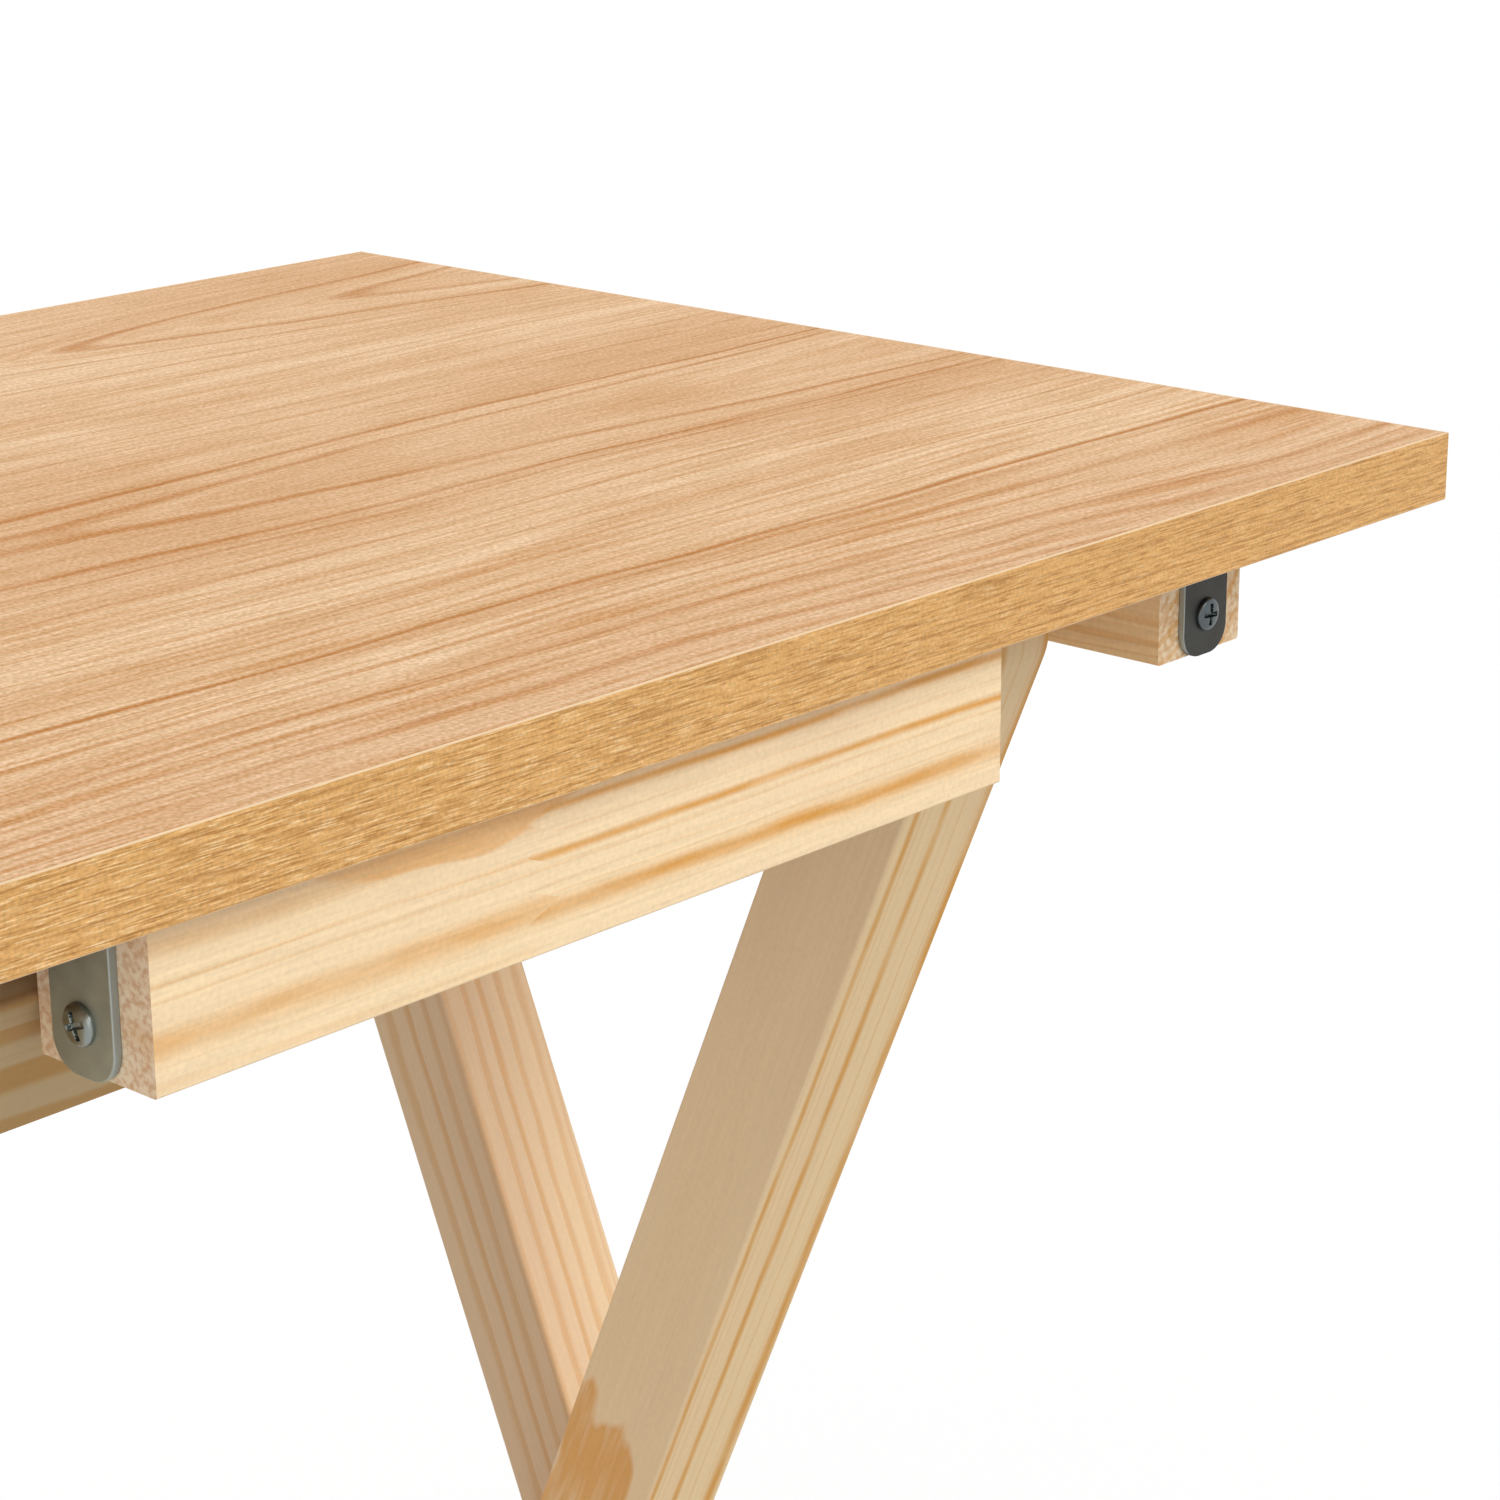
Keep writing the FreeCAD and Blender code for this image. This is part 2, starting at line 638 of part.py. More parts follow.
def make_rail_pivots():
    """Hexagon screws through the rails into the outer legs, the hinge of the board."""
    centre = on_leg(OUTER, size("half_leg"))
    thick, gap = size("washer_thick"), size("run_gap")
    seat_x = size("rail_out") + gap
    length = seat_x + thick - size("outer_out") + size("lag_depth")
    group("rail_pivot_screws", hex_bolt(length), both_sides(seat_x + thick, centre))
    group("rail_pivot_head_washers", washer(thick), both_sides(seat_x, centre))
    group("rail_pivot_spacers", washer(size("spacer_thick")), both_sides(size("outer_out"), centre))


make_board()
make_bands()
make_batten()
make_rails()
make_brackets()
make_inner_legs()
make_outer_legs()
make_crossbars()
make_slat()
make_bracket_screws()
make_frame_screws()
make_leg_pivots()
make_rail_pivots()
doc.recompute()

# Nothing is written unless every object came out sound
for thing in doc.Objects:
    if "Invalid" in thing.State or "Error" in thing.State:
        raise RuntimeError(f"{thing.Label} failed: {thing.State}")
for piece in subparts:
    if piece.Shape.isNull() or not piece.Shape.isValid() or not piece.Shape.Solids:
        raise RuntimeError(f"{piece.Label} has no sound solid")

os.makedirs("parts", exist_ok=True)
for piece in subparts:
    piece.Shape.exportStep(f"parts/{piece.Label}.step")
    print(f"{piece.Label:28s} {len(piece.Shape.Solids):2d} solids {piece.Shape.Volume / 1000:9.2f} cm3")
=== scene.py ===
"""Looks of a small folding table: a laminated board on two crossed frames of pine."""

import json
import math

import bmesh
import bpy
from mathutils import Matrix, Vector


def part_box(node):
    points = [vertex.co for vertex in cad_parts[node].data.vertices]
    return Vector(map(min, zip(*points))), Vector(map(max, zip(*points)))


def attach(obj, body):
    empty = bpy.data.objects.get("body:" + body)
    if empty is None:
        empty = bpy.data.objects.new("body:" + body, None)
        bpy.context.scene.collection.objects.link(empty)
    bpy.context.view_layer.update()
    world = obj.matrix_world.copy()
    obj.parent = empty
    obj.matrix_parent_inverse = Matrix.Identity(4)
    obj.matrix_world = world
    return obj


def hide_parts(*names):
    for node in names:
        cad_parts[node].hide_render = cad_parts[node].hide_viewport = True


bl_info = {
    "name": "Folding trestle table",
    "version": (1, 0, 0),
    "blender": (4, 5, 0),
    "location": "View3D > Sidebar > Table",
    "description": "Dresses the folding table's board, pine frames and steel fittings",
    "category": "Object",
}

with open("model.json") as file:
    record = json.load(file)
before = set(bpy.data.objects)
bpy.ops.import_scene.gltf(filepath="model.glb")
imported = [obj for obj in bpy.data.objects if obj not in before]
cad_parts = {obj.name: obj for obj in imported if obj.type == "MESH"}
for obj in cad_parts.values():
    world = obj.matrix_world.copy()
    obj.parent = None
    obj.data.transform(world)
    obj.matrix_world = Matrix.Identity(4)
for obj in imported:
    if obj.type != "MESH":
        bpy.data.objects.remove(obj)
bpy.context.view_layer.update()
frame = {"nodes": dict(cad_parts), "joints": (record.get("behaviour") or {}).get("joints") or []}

MM = 0.001
X_AXIS, Y_AXIS, Z_AXIS = Vector((1, 0, 0)), Vector((0, 1, 0)), Vector((0, 0, 1))
SIDES = ("left", "right")

PIVOTS = {joint["name"]: Vector(joint["pos_m"]) for joint in frame["joints"]}
CROSSING = PIVOTS["leg_fold"]
LEG_RISE = PIVOTS["top_tilt"] - CROSSING
LEAN = math.atan2(LEG_RISE.y, LEG_RISE.z)


# Shared helpers
def linear(code, alpha=1.0):
    """Linear colour of an sRGB hex value."""
    channels = [int(code.lstrip("#")[k:k + 2], 16) / 255 for k in (0, 2, 4)]
    return (*(c / 12.92 if c <= 0.04045 else ((c + 0.055) / 1.055) ** 2.4 for c in channels), alpha)


def node(tree, kind, sockets, **settings):
    """Add a node, fill its sockets with values or links, and return its first output."""
    made = tree.nodes.new(f"ShaderNode{kind}")
    for prop, value in settings.items():
        setattr(made, prop, value)
    live = [socket for socket in made.inputs if socket.enabled]
    for key, value in sockets.items():
        socket = live[key] if isinstance(key, int) else next(s for s in live if s.name == key)
        if isinstance(value, bpy.types.NodeSocket):
            tree.links.new(value, socket)
        else:
            socket.default_value = value
    return next((socket for socket in made.outputs if socket.enabled), None)


def surface(name):
    """New material with its tree and its principled shader."""
    material = bpy.data.materials.new(name)
    material.use_nodes = True
    tree = material.node_tree
    tree.nodes.clear()
    shader = node(tree, "BsdfPrincipled", {})
    node(tree, "OutputMaterial", {"Surface": shader})
    return material, tree, shader.node.inputs


def per_mm(*lengths):
    """Pattern scale from the sizes of its cells along each axis, in millimetres."""
    return tuple(1 / length for length in lengths)


def axes_turn(along, across):
    """Euler angles of a wood piece whose grain runs along one way and whose face looks across."""
    along, across = Vector(along).normalized(), Vector(across).normalized()
    return Matrix((along, across, along.cross(across))).transposed().to_euler()


def dress(names, material):
    """Give CAD nodes one material."""
    for name in names:
        mesh = frame["nodes"][name].data
        mesh.materials.clear()
        mesh.materials.append(material)


def middle(name):
    """Centre of a CAD node's box."""
    low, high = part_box(name)
    return (low + high) / 2


def strokes(tree, place, lines, swell):
    """Strength of a set of soft lines: each has its place, half width and strength."""
    drawn = None
    for at, half_width, strength in lines:
        off = node(tree, "Math", {0: place, 1: at}, operation="SUBTRACT")
        off = node(tree, "Math", {0: off}, operation="ABSOLUTE")
        line = node(tree, "MapRange", {"Value": off, "From Min": half_width, "From Max": 0.0,
                                       "To Max": strength}, interpolation_type="SMOOTHSTEP")
        drawn = node(tree, "Math", {0: drawn, 1: line}, operation="MAXIMUM") if drawn else line
    return node(tree, "Math", {0: drawn, 1: swell}, operation="MULTIPLY")


# Sizes and colours
def hex_colour(name, description, default):
    """Property for an sRGB colour."""
    return bpy.props.StringProperty(name=name, description=description, default=default, maxlen=7)


def length_mm(name, description, default):
    """Property for a length in millimetres."""
    return bpy.props.FloatProperty(name=name, description=description, default=default, min=0.01)


class LaminateLook(bpy.types.PropertyGroup):
    """Printed laminate of the board and the foil of its edges."""

    pale: hex_colour("Pale bands", "Wide pale bands of the print", "#EDC89D")
    brown: hex_colour("Brown bands", "Wide brown bands of the print", "#DEB181")
    line: hex_colour("Lines", "Thin growth lines of the print", "#CA8838")
    dark_line: hex_colour("Dark lines", "Few long dark lines of the print", "#BC7300")
    rosy: hex_colour("Rosy edge", "Redder tone of the print at the near edge", "#D8A678")
    foil: hex_colour("Edge foil", "Ground of the edge bands", "#DFAB67")
    foil_dark: hex_colour("Foil pores", "Short dark pores of the edge bands", "#AA7434")
    foil_light: hex_colour("Foil flecks", "Short light flecks of the edge bands", "#F6D29C")
    arris: hex_colour("Band arris", "Scraped long edges of the bands", "#EBCFA9")
    band_width: length_mm("Band width", "Width of a tone band, in millimetres", 16)
    line_width: length_mm("Line spacing", "Spacing of the growth lines, in millimetres", 2.2)
    pore: length_mm("Pore length", "Length of a pore of the edge bands, in millimetres", 6.5)
    grit: length_mm("Grit", "Size of the pressed grit, in millimetres", 1.1)


class PineLook(bpy.types.PropertyGroup):
    """Pine of the legs, bars, rails, batten and slat."""

    early: hex_colour("Early wood", "Wide pale part of a growth ring", "#F9DEB4")
    early_warm: hex_colour("Warm early wood", "Pinker early wood", "#EFCFAC")
    late: hex_colour("Late wood", "Narrow dark part of a growth ring", "#DE9F4C")
    end_pale: hex_colour("End grain", "Sawn end grain", "#FDE9CB")
    end_dark: hex_colour("End grain pores", "Darker spots of the end grain", "#E6C097")
    flame: hex_colour("Flame", "Patches of resin-dark wood", "#EAAE63")
    ring: length_mm("Growth ring", "Width of a growth ring, in millimetres", 5.2)


class SteelLook(bpy.types.PropertyGroup):
    """Zinc-plated brackets, screws and bolts."""

    zinc: hex_colour("Zinc", "Passivated zinc of the batten's brackets", "#B0B3A3")
    clouds: hex_colour("Zinc clouds", "Darker clouds of that zinc", "#9C9D90")
    # Painted shade: the rails' brackets get a darker zinc that stands in for the dark surroundings
    # they mirror
    painted_shade_zinc: hex_colour("Dark zinc", "Darker coat of the rails' brackets", "#535350")
    painted_shade_clouds: hex_colour("Dark clouds", "Clouds of the darker coat", "#4B4A47")
    # The brighter edge colour is partly a painted highlight
    sheared_edge_highlight: hex_colour("Cut edge", "Cut edges of the brackets", "#A9B1AF")
    bright: hex_colour("Bright steel", "Screws, bolts and washers", "#8E9591")
    painted_shade_screws: hex_colour("Dark screws", "Screws of the rails' brackets", "#5C6365")
    edge: length_mm("Edge rounding", "Rounding of pressed edges, in millimetres", 0.35)


class StageLook(bpy.types.PropertyGroup):
    """Camera, lamps and floor."""

    lens: bpy.props.FloatProperty(
        name="Lens", description="Focal length on a 36 mm wide sensor", default=86.98,
        subtype="DISTANCE_CAMERA")
    eye: bpy.props.FloatVectorProperty(
        name="Eye", description="Place of the camera", default=(-0.5002, -0.6956, 0.9582),
        subtype="XYZ", unit="LENGTH")
    yaw: bpy.props.FloatProperty(
        name="Yaw", description="Way of the camera, from the far side to the right",
        default=math.radians(47.57), subtype="ANGLE", unit="ROTATION")
    pitch: bpy.props.FloatProperty(
        name="Pitch", description="Tilt of the camera below the horizon",
        default=math.radians(17.71), subtype="ANGLE", unit="ROTATION")
    roll: bpy.props.FloatProperty(
        name="Roll", description="Turn of the camera about its own axis",
        default=math.radians(-0.41), subtype="ANGLE", unit="ROTATION")
    sky: bpy.props.FloatProperty(
        name="Sky", description="Strength of the light from all round", default=0.6, min=0)
    key: bpy.props.FloatProperty(
        name="Key", description="Strength of the light from the near side", default=1.5, min=0)
    key_spread: bpy.props.FloatProperty(
        name="Key spread", description="Width of the key light as seen from the table",
        default=math.radians(38), subtype="ANGLE", unit="ROTATION")
    fill: bpy.props.FloatProperty(
        name="Fill", description="Strength of the light from the left", default=0.75, min=0)
    fill_spread: bpy.props.FloatProperty(
        name="Fill spread", description="Width of the fill light as seen from the table",
        default=math.radians(60), subtype="ANGLE", unit="ROTATION")
    floor: bpy.props.FloatProperty(
        name="Floor", description="Half width of the floor", default=30, unit="LENGTH")


class TableLook(bpy.types.PropertyGroup):
    """Everything that a user may change."""

    laminate: bpy.props.PointerProperty(type=LaminateLook, name="Laminate")
    pine: bpy.props.PointerProperty(type=PineLook, name="Pine")
    steel: bpy.props.PointerProperty(type=SteelLook, name="Steel")
    stage: bpy.props.PointerProperty(type=StageLook, name="Stage")


# Printed laminate: lengths in millimetres from the middle of the board
FAR_ARCH = {"axis": 150.0, "round": 14.0, "closing": 0.12, "fade": (30.0, 75.0)}
NEAR_ARCH = {"axis": -23.0, "round": 20.0, "closing": 0.045, "fade": (26.0, 46.0)}
ARCH_BORDER = 75.0                      # where the two figures meet
FAR_SIDE, BELOW_AXIS = 1000.0, 200.0    # set the lines of each half of each figure apart
WANDER = 8.0                            # how far a line strays to each side
# Ring with what sets it apart, half width and strength: the last three are broad tints
LONG_LINES = (
    (984.6, 2.4, 0.7), (1184.6, 2.0, 0.6), (997.7, 2.0, 0.9), (1197.7, 2.0, 0.8),
    (1009.3, 1.4, 0.45), (1209.5, 1.4, 0.45), (1020.0, 1.6, 0.4), (1231.1, 1.6, 0.5),
    (1038.0, 1.6, 0.5), (1251.5, 1.4, 0.3), (1269.6, 1.3, 0.35),
    (20.8, 1.7, 0.75), (220.8, 1.8, 0.85), (28.2, 2.4, 1.0), (31.0, 7.0, 0.42),
    (47.0, 1.6, 0.4), (61.0, 1.8, 0.5), (72.5, 1.4, 0.35), (84.0, 1.3, 0.3),
    (239.0, 7.0, 0.42), (236.5, 2.6, 1.0), (244.0, 2.2, 0.7), (262.0, 1.7, 0.5),
    (281.0, 1.2, 0.35), (300.0, 1.2, 0.4), (324.6, 2.1, 0.95), (329.0, 4.5, 0.35),
    (338.5, 1.5, 0.6), (355.0, 1.8, 0.75), (363.0, 1.4, 0.55), (373.0, 1.9, 0.75),
    (40.0, 60.0, 0.24), (233.0, 48.0, 0.28), (1010.0, 45.0, 0.2),
)


def grain_figure(tree, along, across, arch):
    """Rings of arches that open to the right about an axis, and the side of the axis."""
    off = node(tree, "Math", {0: across, 1: arch["axis"]}, operation="SUBTRACT")
    ring = node(tree, "CombineXYZ", {"X": off, "Y": arch["round"]})
    ring = node(tree, "VectorMath", {0: ring}, operation="LENGTH").node.outputs["Value"]
    away = node(tree, "Math", {0: off}, operation="ABSOLUTE")
    closing = node(tree, "MapRange", {"Value": away, "From Min": arch["fade"][0],
                                      "From Max": arch["fade"][1], "To Min": -arch["closing"],
                                      "To Max": 0.0}, interpolation_type="SMOOTHSTEP")
    ring = node(tree, "Math", {0: along, 1: closing, 2: ring}, operation="MULTIPLY_ADD")
    below = node(tree, "Math", {0: off, 1: 0.0}, operation="LESS_THAN")
    return ring, below


def oak_print_laminate(look):
    """Melamine paper printed with flat-sawn oak and pressed with a fine grit.

    It gives flat tan bands, long thin lines with an arched figure, and a dull sheen.
    """
    material, tree, skin = surface("oak_print_laminate")
    coords = node(tree, "TexCoord", {}).node.outputs["Object"]
    mm = node(tree, "VectorMath", {0: coords, "Scale": 1 / MM}, operation="SCALE")

    # The lines wander to each side, and by the near edge they run downhill to the right
    drift = node(tree, "Mapping", {"Vector": mm, "Scale": per_mm(190, 60, 60)})
    drift = node(tree, "TexNoise", {"Vector": drift, "Scale": 1.0, "Detail": 3.0})
    drift = node(tree, "MapRange", {"Value": drift, "To Min": -WANDER, "To Max": WANDER})
    spot = node(tree, "SeparateXYZ", {"Vector": mm}).node.outputs
    along = node(tree, "Math", {0: spot["X"], 1: 0.0}, operation="MAXIMUM")
    tilt = node(tree, "MapRange", {"Value": spot["Y"], "From Min": -155.0, "From Max": -210.0,
                                   "To Max": 0.12})
    run = node(tree, "MapRange", {"Value": spot["X"], "From Max": 260.0, "To Max": 190.0},
               interpolation_type="SMOOTHSTEP")
    across = node(tree, "Math", {0: run, 1: tilt, 2: spot["Y"]}, operation="MULTIPLY_ADD")
    across = node(tree, "Math", {0: across, 1: drift}, operation="ADD")
    near, below_near = grain_figure(tree, along, across, NEAR_ARCH)
    far, below_far = grain_figure(tree, along, across, FAR_ARCH)
    far = node(tree, "Math", {0: far, 1: FAR_SIDE}, operation="ADD")
    over = node(tree, "Math", {0: across, 1: ARCH_BORDER}, operation="GREATER_THAN")
    ring = node(tree, "Mix", {"Factor": over, "A": near, "B": far}, data_type="FLOAT")
    below = node(tree, "Mix", {"Factor": over, "A": below_near, "B": below_far},
                 data_type="FLOAT")
    mark = node(tree, "Math", {0: below, 1: BELOW_AXIS, 2: ring}, operation="MULTIPLY_ADD")
    grain = node(tree, "CombineXYZ", {"X": spot["X"], "Y": ring})

    # Wide bands of tone
    bands = node(tree, "Mapping", {"Vector": grain, "Scale": per_mm(170, look.band_width, 1)})
    bands = node(tree, "TexNoise", {"Vector": bands, "Scale": 1.0, "Detail": 2.0})
    bands = node(tree, "MapRange", {"Value": bands, "From Min": 0.34, "From Max": 0.66},
                 interpolation_type="SMOOTHSTEP")
    colour = node(tree, "Mix", {"Factor": bands, "A": linear(look.pale), "B": linear(look.brown)},
                  data_type="RGBA")

    # Growth lines, stronger toward the near edge
    lines = node(tree, "Mapping", {"Vector": grain, "Scale": per_mm(85, look.line_width, 1)})
    lines = node(tree, "TexNoise", {"Vector": lines, "Scale": 1.0, "Detail": 2.0})
    bold = node(tree, "MapRange", {"Value": spot["Y"], "From Min": -40.0, "From Max": -180.0,
                                   "To Min": 0.37, "To Max": 0.87})
    lines = node(tree, "MapRange", {"Value": lines, "From Min": 0.42, "From Max": 0.72,
                                    "To Max": bold}, interpolation_type="SMOOTHSTEP")
    colour = node(tree, "Mix", {"Factor": lines, "A": colour, "B": linear(look.line)},
                  data_type="RGBA")

    # Long lines that run the length of the board, each stronger and weaker along its way
    swell = node(tree, "Mapping", {"Vector": grain, "Scale": per_mm(75, 25, 1)})
    swell = node(tree, "TexNoise", {"Vector": swell, "Scale": 1.0, "Detail": 2.0})
    swell = node(tree, "MapRange", {"Value": swell, "From Min": 0.28, "From Max": 0.52,
                                    "To Min": 0.5})
    colour = node(tree, "Mix", {"Factor": strokes(tree, mark, LONG_LINES, swell), "A": colour,
                                "B": linear(look.dark_line)}, data_type="RGBA")
    rosy = node(tree, "MapRange", {"Value": spot["Y"], "From Min": -150.0, "From Max": -200.0,
                                   "To Max": 0.35})
    colour = node(tree, "Mix", {"Factor": rosy, "A": colour, "B": linear(look.rosy)},
                  data_type="RGBA")

    # Fibres and grit are drawn a little coarser than they are, so that they show: where they
    # are darker, the colour is also fuller
    fibre = node(tree, "Mapping", {"Vector": mm, "Scale": per_mm(26, 0.9, 1)})
    fibre = node(tree, "TexNoise", {"Vector": fibre, "Scale": 1.0, "Detail": 2.0})
    grit = node(tree, "TexNoise", {"Vector": mm, "Scale": 1 / look.grit, "Detail": 2.0})
    shade = node(tree, "Math", {0: grit, 1: 1.4, 2: fibre}, operation="MULTIPLY_ADD")
    shade = node(tree, "MapRange", {"Value": shade, "From Min": 0.72, "From Max": 1.68,
                                    "To Min": 0.75, "To Max": 1.25})
    rich = node(tree, "Math", {0: shade, 1: -0.65, 2: 1.65}, operation="MULTIPLY_ADD")
    colour = node(tree, "HueSaturation", {"Saturation": rich, "Value": shade, "Color": colour})
    tree.links.new(colour, skin["Base Color"])
    skin["Roughness"].default_value = 0.52
    skin["Specular IOR Level"].default_value = 0.22
    bump = node(tree, "Bump", {"Height": grit, "Strength": 0.25, "Distance": 0.08 * MM})
    tree.links.new(bump, skin["Normal"])
    return material


def edge_band_foil(look):
    """Printed foil glued to the board's edges, embossed with short pores.

    It gives a golden ground full of fine dashes along the edge, and pale scraped arrises.
    """
    material, tree, skin = surface("edge_band_foil")
    coords = node(tree, "TexCoord", {}).node.outputs
    mm = node(tree, "VectorMath", {0: coords["Object"], "Scale": 1 / MM}, operation="SCALE")
    spot = node(tree, "SeparateXYZ", {"Vector": mm}).node.outputs
    # X and Y add up to the way along any of the four edges
    along = node(tree, "Math", {0: spot["X"], 1: spot["Y"]}, operation="ADD")
    run = node(tree, "CombineXYZ", {"X": along, "Y": spot["Z"]})

    # Long brown streaks
    bands = node(tree, "Mapping", {"Vector": run, "Scale": per_mm(28, 0.8, 1)})
    bands = node(tree, "TexNoise", {"Vector": bands, "Scale": 1.0, "Detail": 2.0})
    bands = node(tree, "MapRange", {"Value": bands, "From Min": 0.44, "From Max": 0.66,
                                    "To Max": 0.65})
    colour = node(tree, "Mix", {"Factor": bands, "A": linear(look.foil),
                                "B": linear(look.foil_dark)}, data_type="RGBA")

    # Pores and grit are drawn a little coarser than they are, so that they show: the light
    # flecks are stronger toward the left
    dash = node(tree, "Mapping", {"Vector": run, "Scale": per_mm(look.pore, 0.38, 1)})
    dash = node(tree, "TexNoise", {"Vector": dash, "Scale": 1.0, "Detail": 2.0,
                                   "Distortion": 0.2})
    dense = node(tree, "MapRange", {"Value": along, "From Min": -60.0, "From Max": -330.0,
                                    "To Min": 0.42, "To Max": 1.0})
    light = node(tree, "MapRange", {"Value": dash, "From Min": 0.54, "From Max": 0.68,
                                    "To Max": dense})
    colour = node(tree, "Mix", {"Factor": light, "A": colour, "B": linear(look.foil_light)},
                  data_type="RGBA")
    pore = node(tree, "MapRange", {"Value": dash, "From Min": 0.43, "From Max": 0.32,
                                   "To Max": 0.85})
    colour = node(tree, "Mix", {"Factor": pore, "A": colour, "B": linear(look.foil_dark)},
                  data_type="RGBA")
    grit = node(tree, "TexNoise", {"Vector": run, "Scale": 1 / 0.9, "Detail": 2.0})
    shade = node(tree, "MapRange", {"Value": grit, "From Min": 0.3, "From Max": 0.7,
                                    "To Min": 0.86, "To Max": 1.14})
    colour = node(tree, "HueSaturation", {"Value": shade, "Color": colour})

    # Scraped arrises
    facing = node(tree, "SeparateXYZ", {"Vector": coords["Normal"]}).node.outputs["Z"]
    facing = node(tree, "Math", {0: facing}, operation="ABSOLUTE")
    worn = node(tree, "MapRange", {"Value": facing, "From Min": 0.2, "From Max": 0.5,
                                   "To Max": 0.85})
    colour = node(tree, "Mix", {"Factor": worn, "A": colour, "B": linear(look.arris)},
                  data_type="RGBA")
    tree.links.new(colour, skin["Base Color"])
    skin["Roughness"].default_value = 0.48
    skin["Specular IOR Level"].default_value = 0.35
    bump = node(tree, "Bump", {"Height": dash, "Strength": 0.5, "Distance": 0.15 * MM})
    tree.links.new(bump, skin["Normal"])
    return material


# Pine: lengths in millimetres
FIRST_YEAR = 40.0               # where the count of rings starts, at the pith
UNEVEN = 0.8                    # how much the ring widths differ, as a share of a ring
YEAR_END = 0.92                 # share of a ring at which its late wood starts to fade
LATE_SOFT = 0.12                # softness of the late wood's inner edge, as a share of a ring
FINGER_SHIFT = 4.0              # from the middle of a stick to the tip of a glued finger
LEFT_FACE = (16.4, 17.3)        # the left face begins between these, from the stick's middle


class Stick:
    """Where one stick was sawn from its log: lengths in millimetres from the stick's middle."""

    def __init__(self, pith, ring=None, share=0.28, warm=0.3, late=0.8, tone=1.0, wander=4.0,
                 painted_left_light=1.0, clear=0.0, slope=0.0, end_rings=0.4, rich=1.0, lines=(), joint=None,
                 beyond=(), flame=None):
        self.pith = pith        # across and through the stick, to the middle of the log
        self.ring = ring        # ring width, or None for the usual one
        self.share = share      # share of late wood in a ring
        self.warm = warm        # share of pinker early wood
        self.late = late        # strength of the dark lines
        self.tone = tone        # lightness against the usual one: the wood's own, and on some sticks painted shade
        self.wander = wander    # how far the rings stray
        self.painted_left_light = painted_left_light          # painted light and shade: lightness of the face that looks to the left
        self.clear = clear      # share of the dark lines that this face lacks
        self.slope = slope      # how far the rings run out of the stick, per length
        self.end_rings = end_rings    # strength of the rings on the sawn ends
        self.rich = rich        # fullness of the colour, apart from the left face: painted warm light on sticks in shade
        self.lines = lines      # late wood set out: distance from the pith, half width, strength
        self.joint = joint      # place, finger length and finger pitch of a glued joint
        self.beyond = beyond    # lines on the other side of the joint
        self.flame = flame      # dark patch: place along and across, half sizes and strength


def grown_late_wood(tree, stick, width, out):
    """Rings that differ in width, each in how dark its late wood is."""
    uneven = node(tree, "TexNoise", {"W": out, "Scale": 1 / (2.3 * width), "Detail": 1.0},
                  noise_dimensions="1D")
    count = node(tree, "Math", {0: out, 1: 1 / width, 2: FIRST_YEAR - UNEVEN / 2},
                 operation="MULTIPLY_ADD")
    count = node(tree, "Math", {0: uneven, 1: UNEVEN, 2: count}, operation="MULTIPLY_ADD")
    year = node(tree, "Math", {0: count}, operation="FLOOR")
    strength = node(tree, "TexWhiteNoise", {"W": year}, noise_dimensions="1D")
    strength = node(tree, "MapRange", {"Value": strength.node.outputs["Value"],
                                       "To Min": stick.late / 2, "To Max": stick.late})
    season = node(tree, "Math", {0: count}, operation="FRACT")
    start = YEAR_END - stick.share
    rise = node(tree, "MapRange", {"Value": season, "From Min": start - LATE_SOFT,
                                   "From Max": start + LATE_SOFT},
                interpolation_type="SMOOTHSTEP")
    fall = node(tree, "MapRange", {"Value": season, "From Min": 1.0, "From Max": YEAR_END},
                interpolation_type="SMOOTHSTEP")
    late = node(tree, "Math", {0: rise, 1: fall}, operation="MULTIPLY")
    return node(tree, "Math", {0: late, 1: strength}, operation="MULTIPLY")


def drawn_late_wood(tree, stick, mm, spot, out):
    """Late wood in given places, which changes where a finger joint meets."""
    swell = node(tree, "Mapping", {"Vector": mm, "Scale": per_mm(28, 6, 6)})
    swell = node(tree, "TexNoise", {"Vector": swell, "Scale": 1.0, "Detail": 2.0})
    swell = node(tree, "MapRange", {"Value": swell, "From Min": 0.28, "From Max": 0.58,
                                    "To Min": 0.5})
    late = strokes(tree, out, stick.lines, swell)
    if not stick.joint:
        return late
    place, finger, pitch = stick.joint
    comb = node(tree, "Math", {0: spot["Y"], 1: FINGER_SHIFT}, operation="SUBTRACT")
    comb = node(tree, "Math", {0: comb, 1: pitch / 2}, operation="PINGPONG")
    comb = node(tree, "Math", {0: comb, 1: finger / pitch * 2, 2: place}, operation="MULTIPLY_ADD")
    over = node(tree, "Math", {0: spot["X"], 1: comb}, operation="GREATER_THAN")
    return node(tree, "Mix", {"Factor": over, "A": late,
                              "B": strokes(tree, out, stick.beyond, swell)}, data_type="FLOAT")


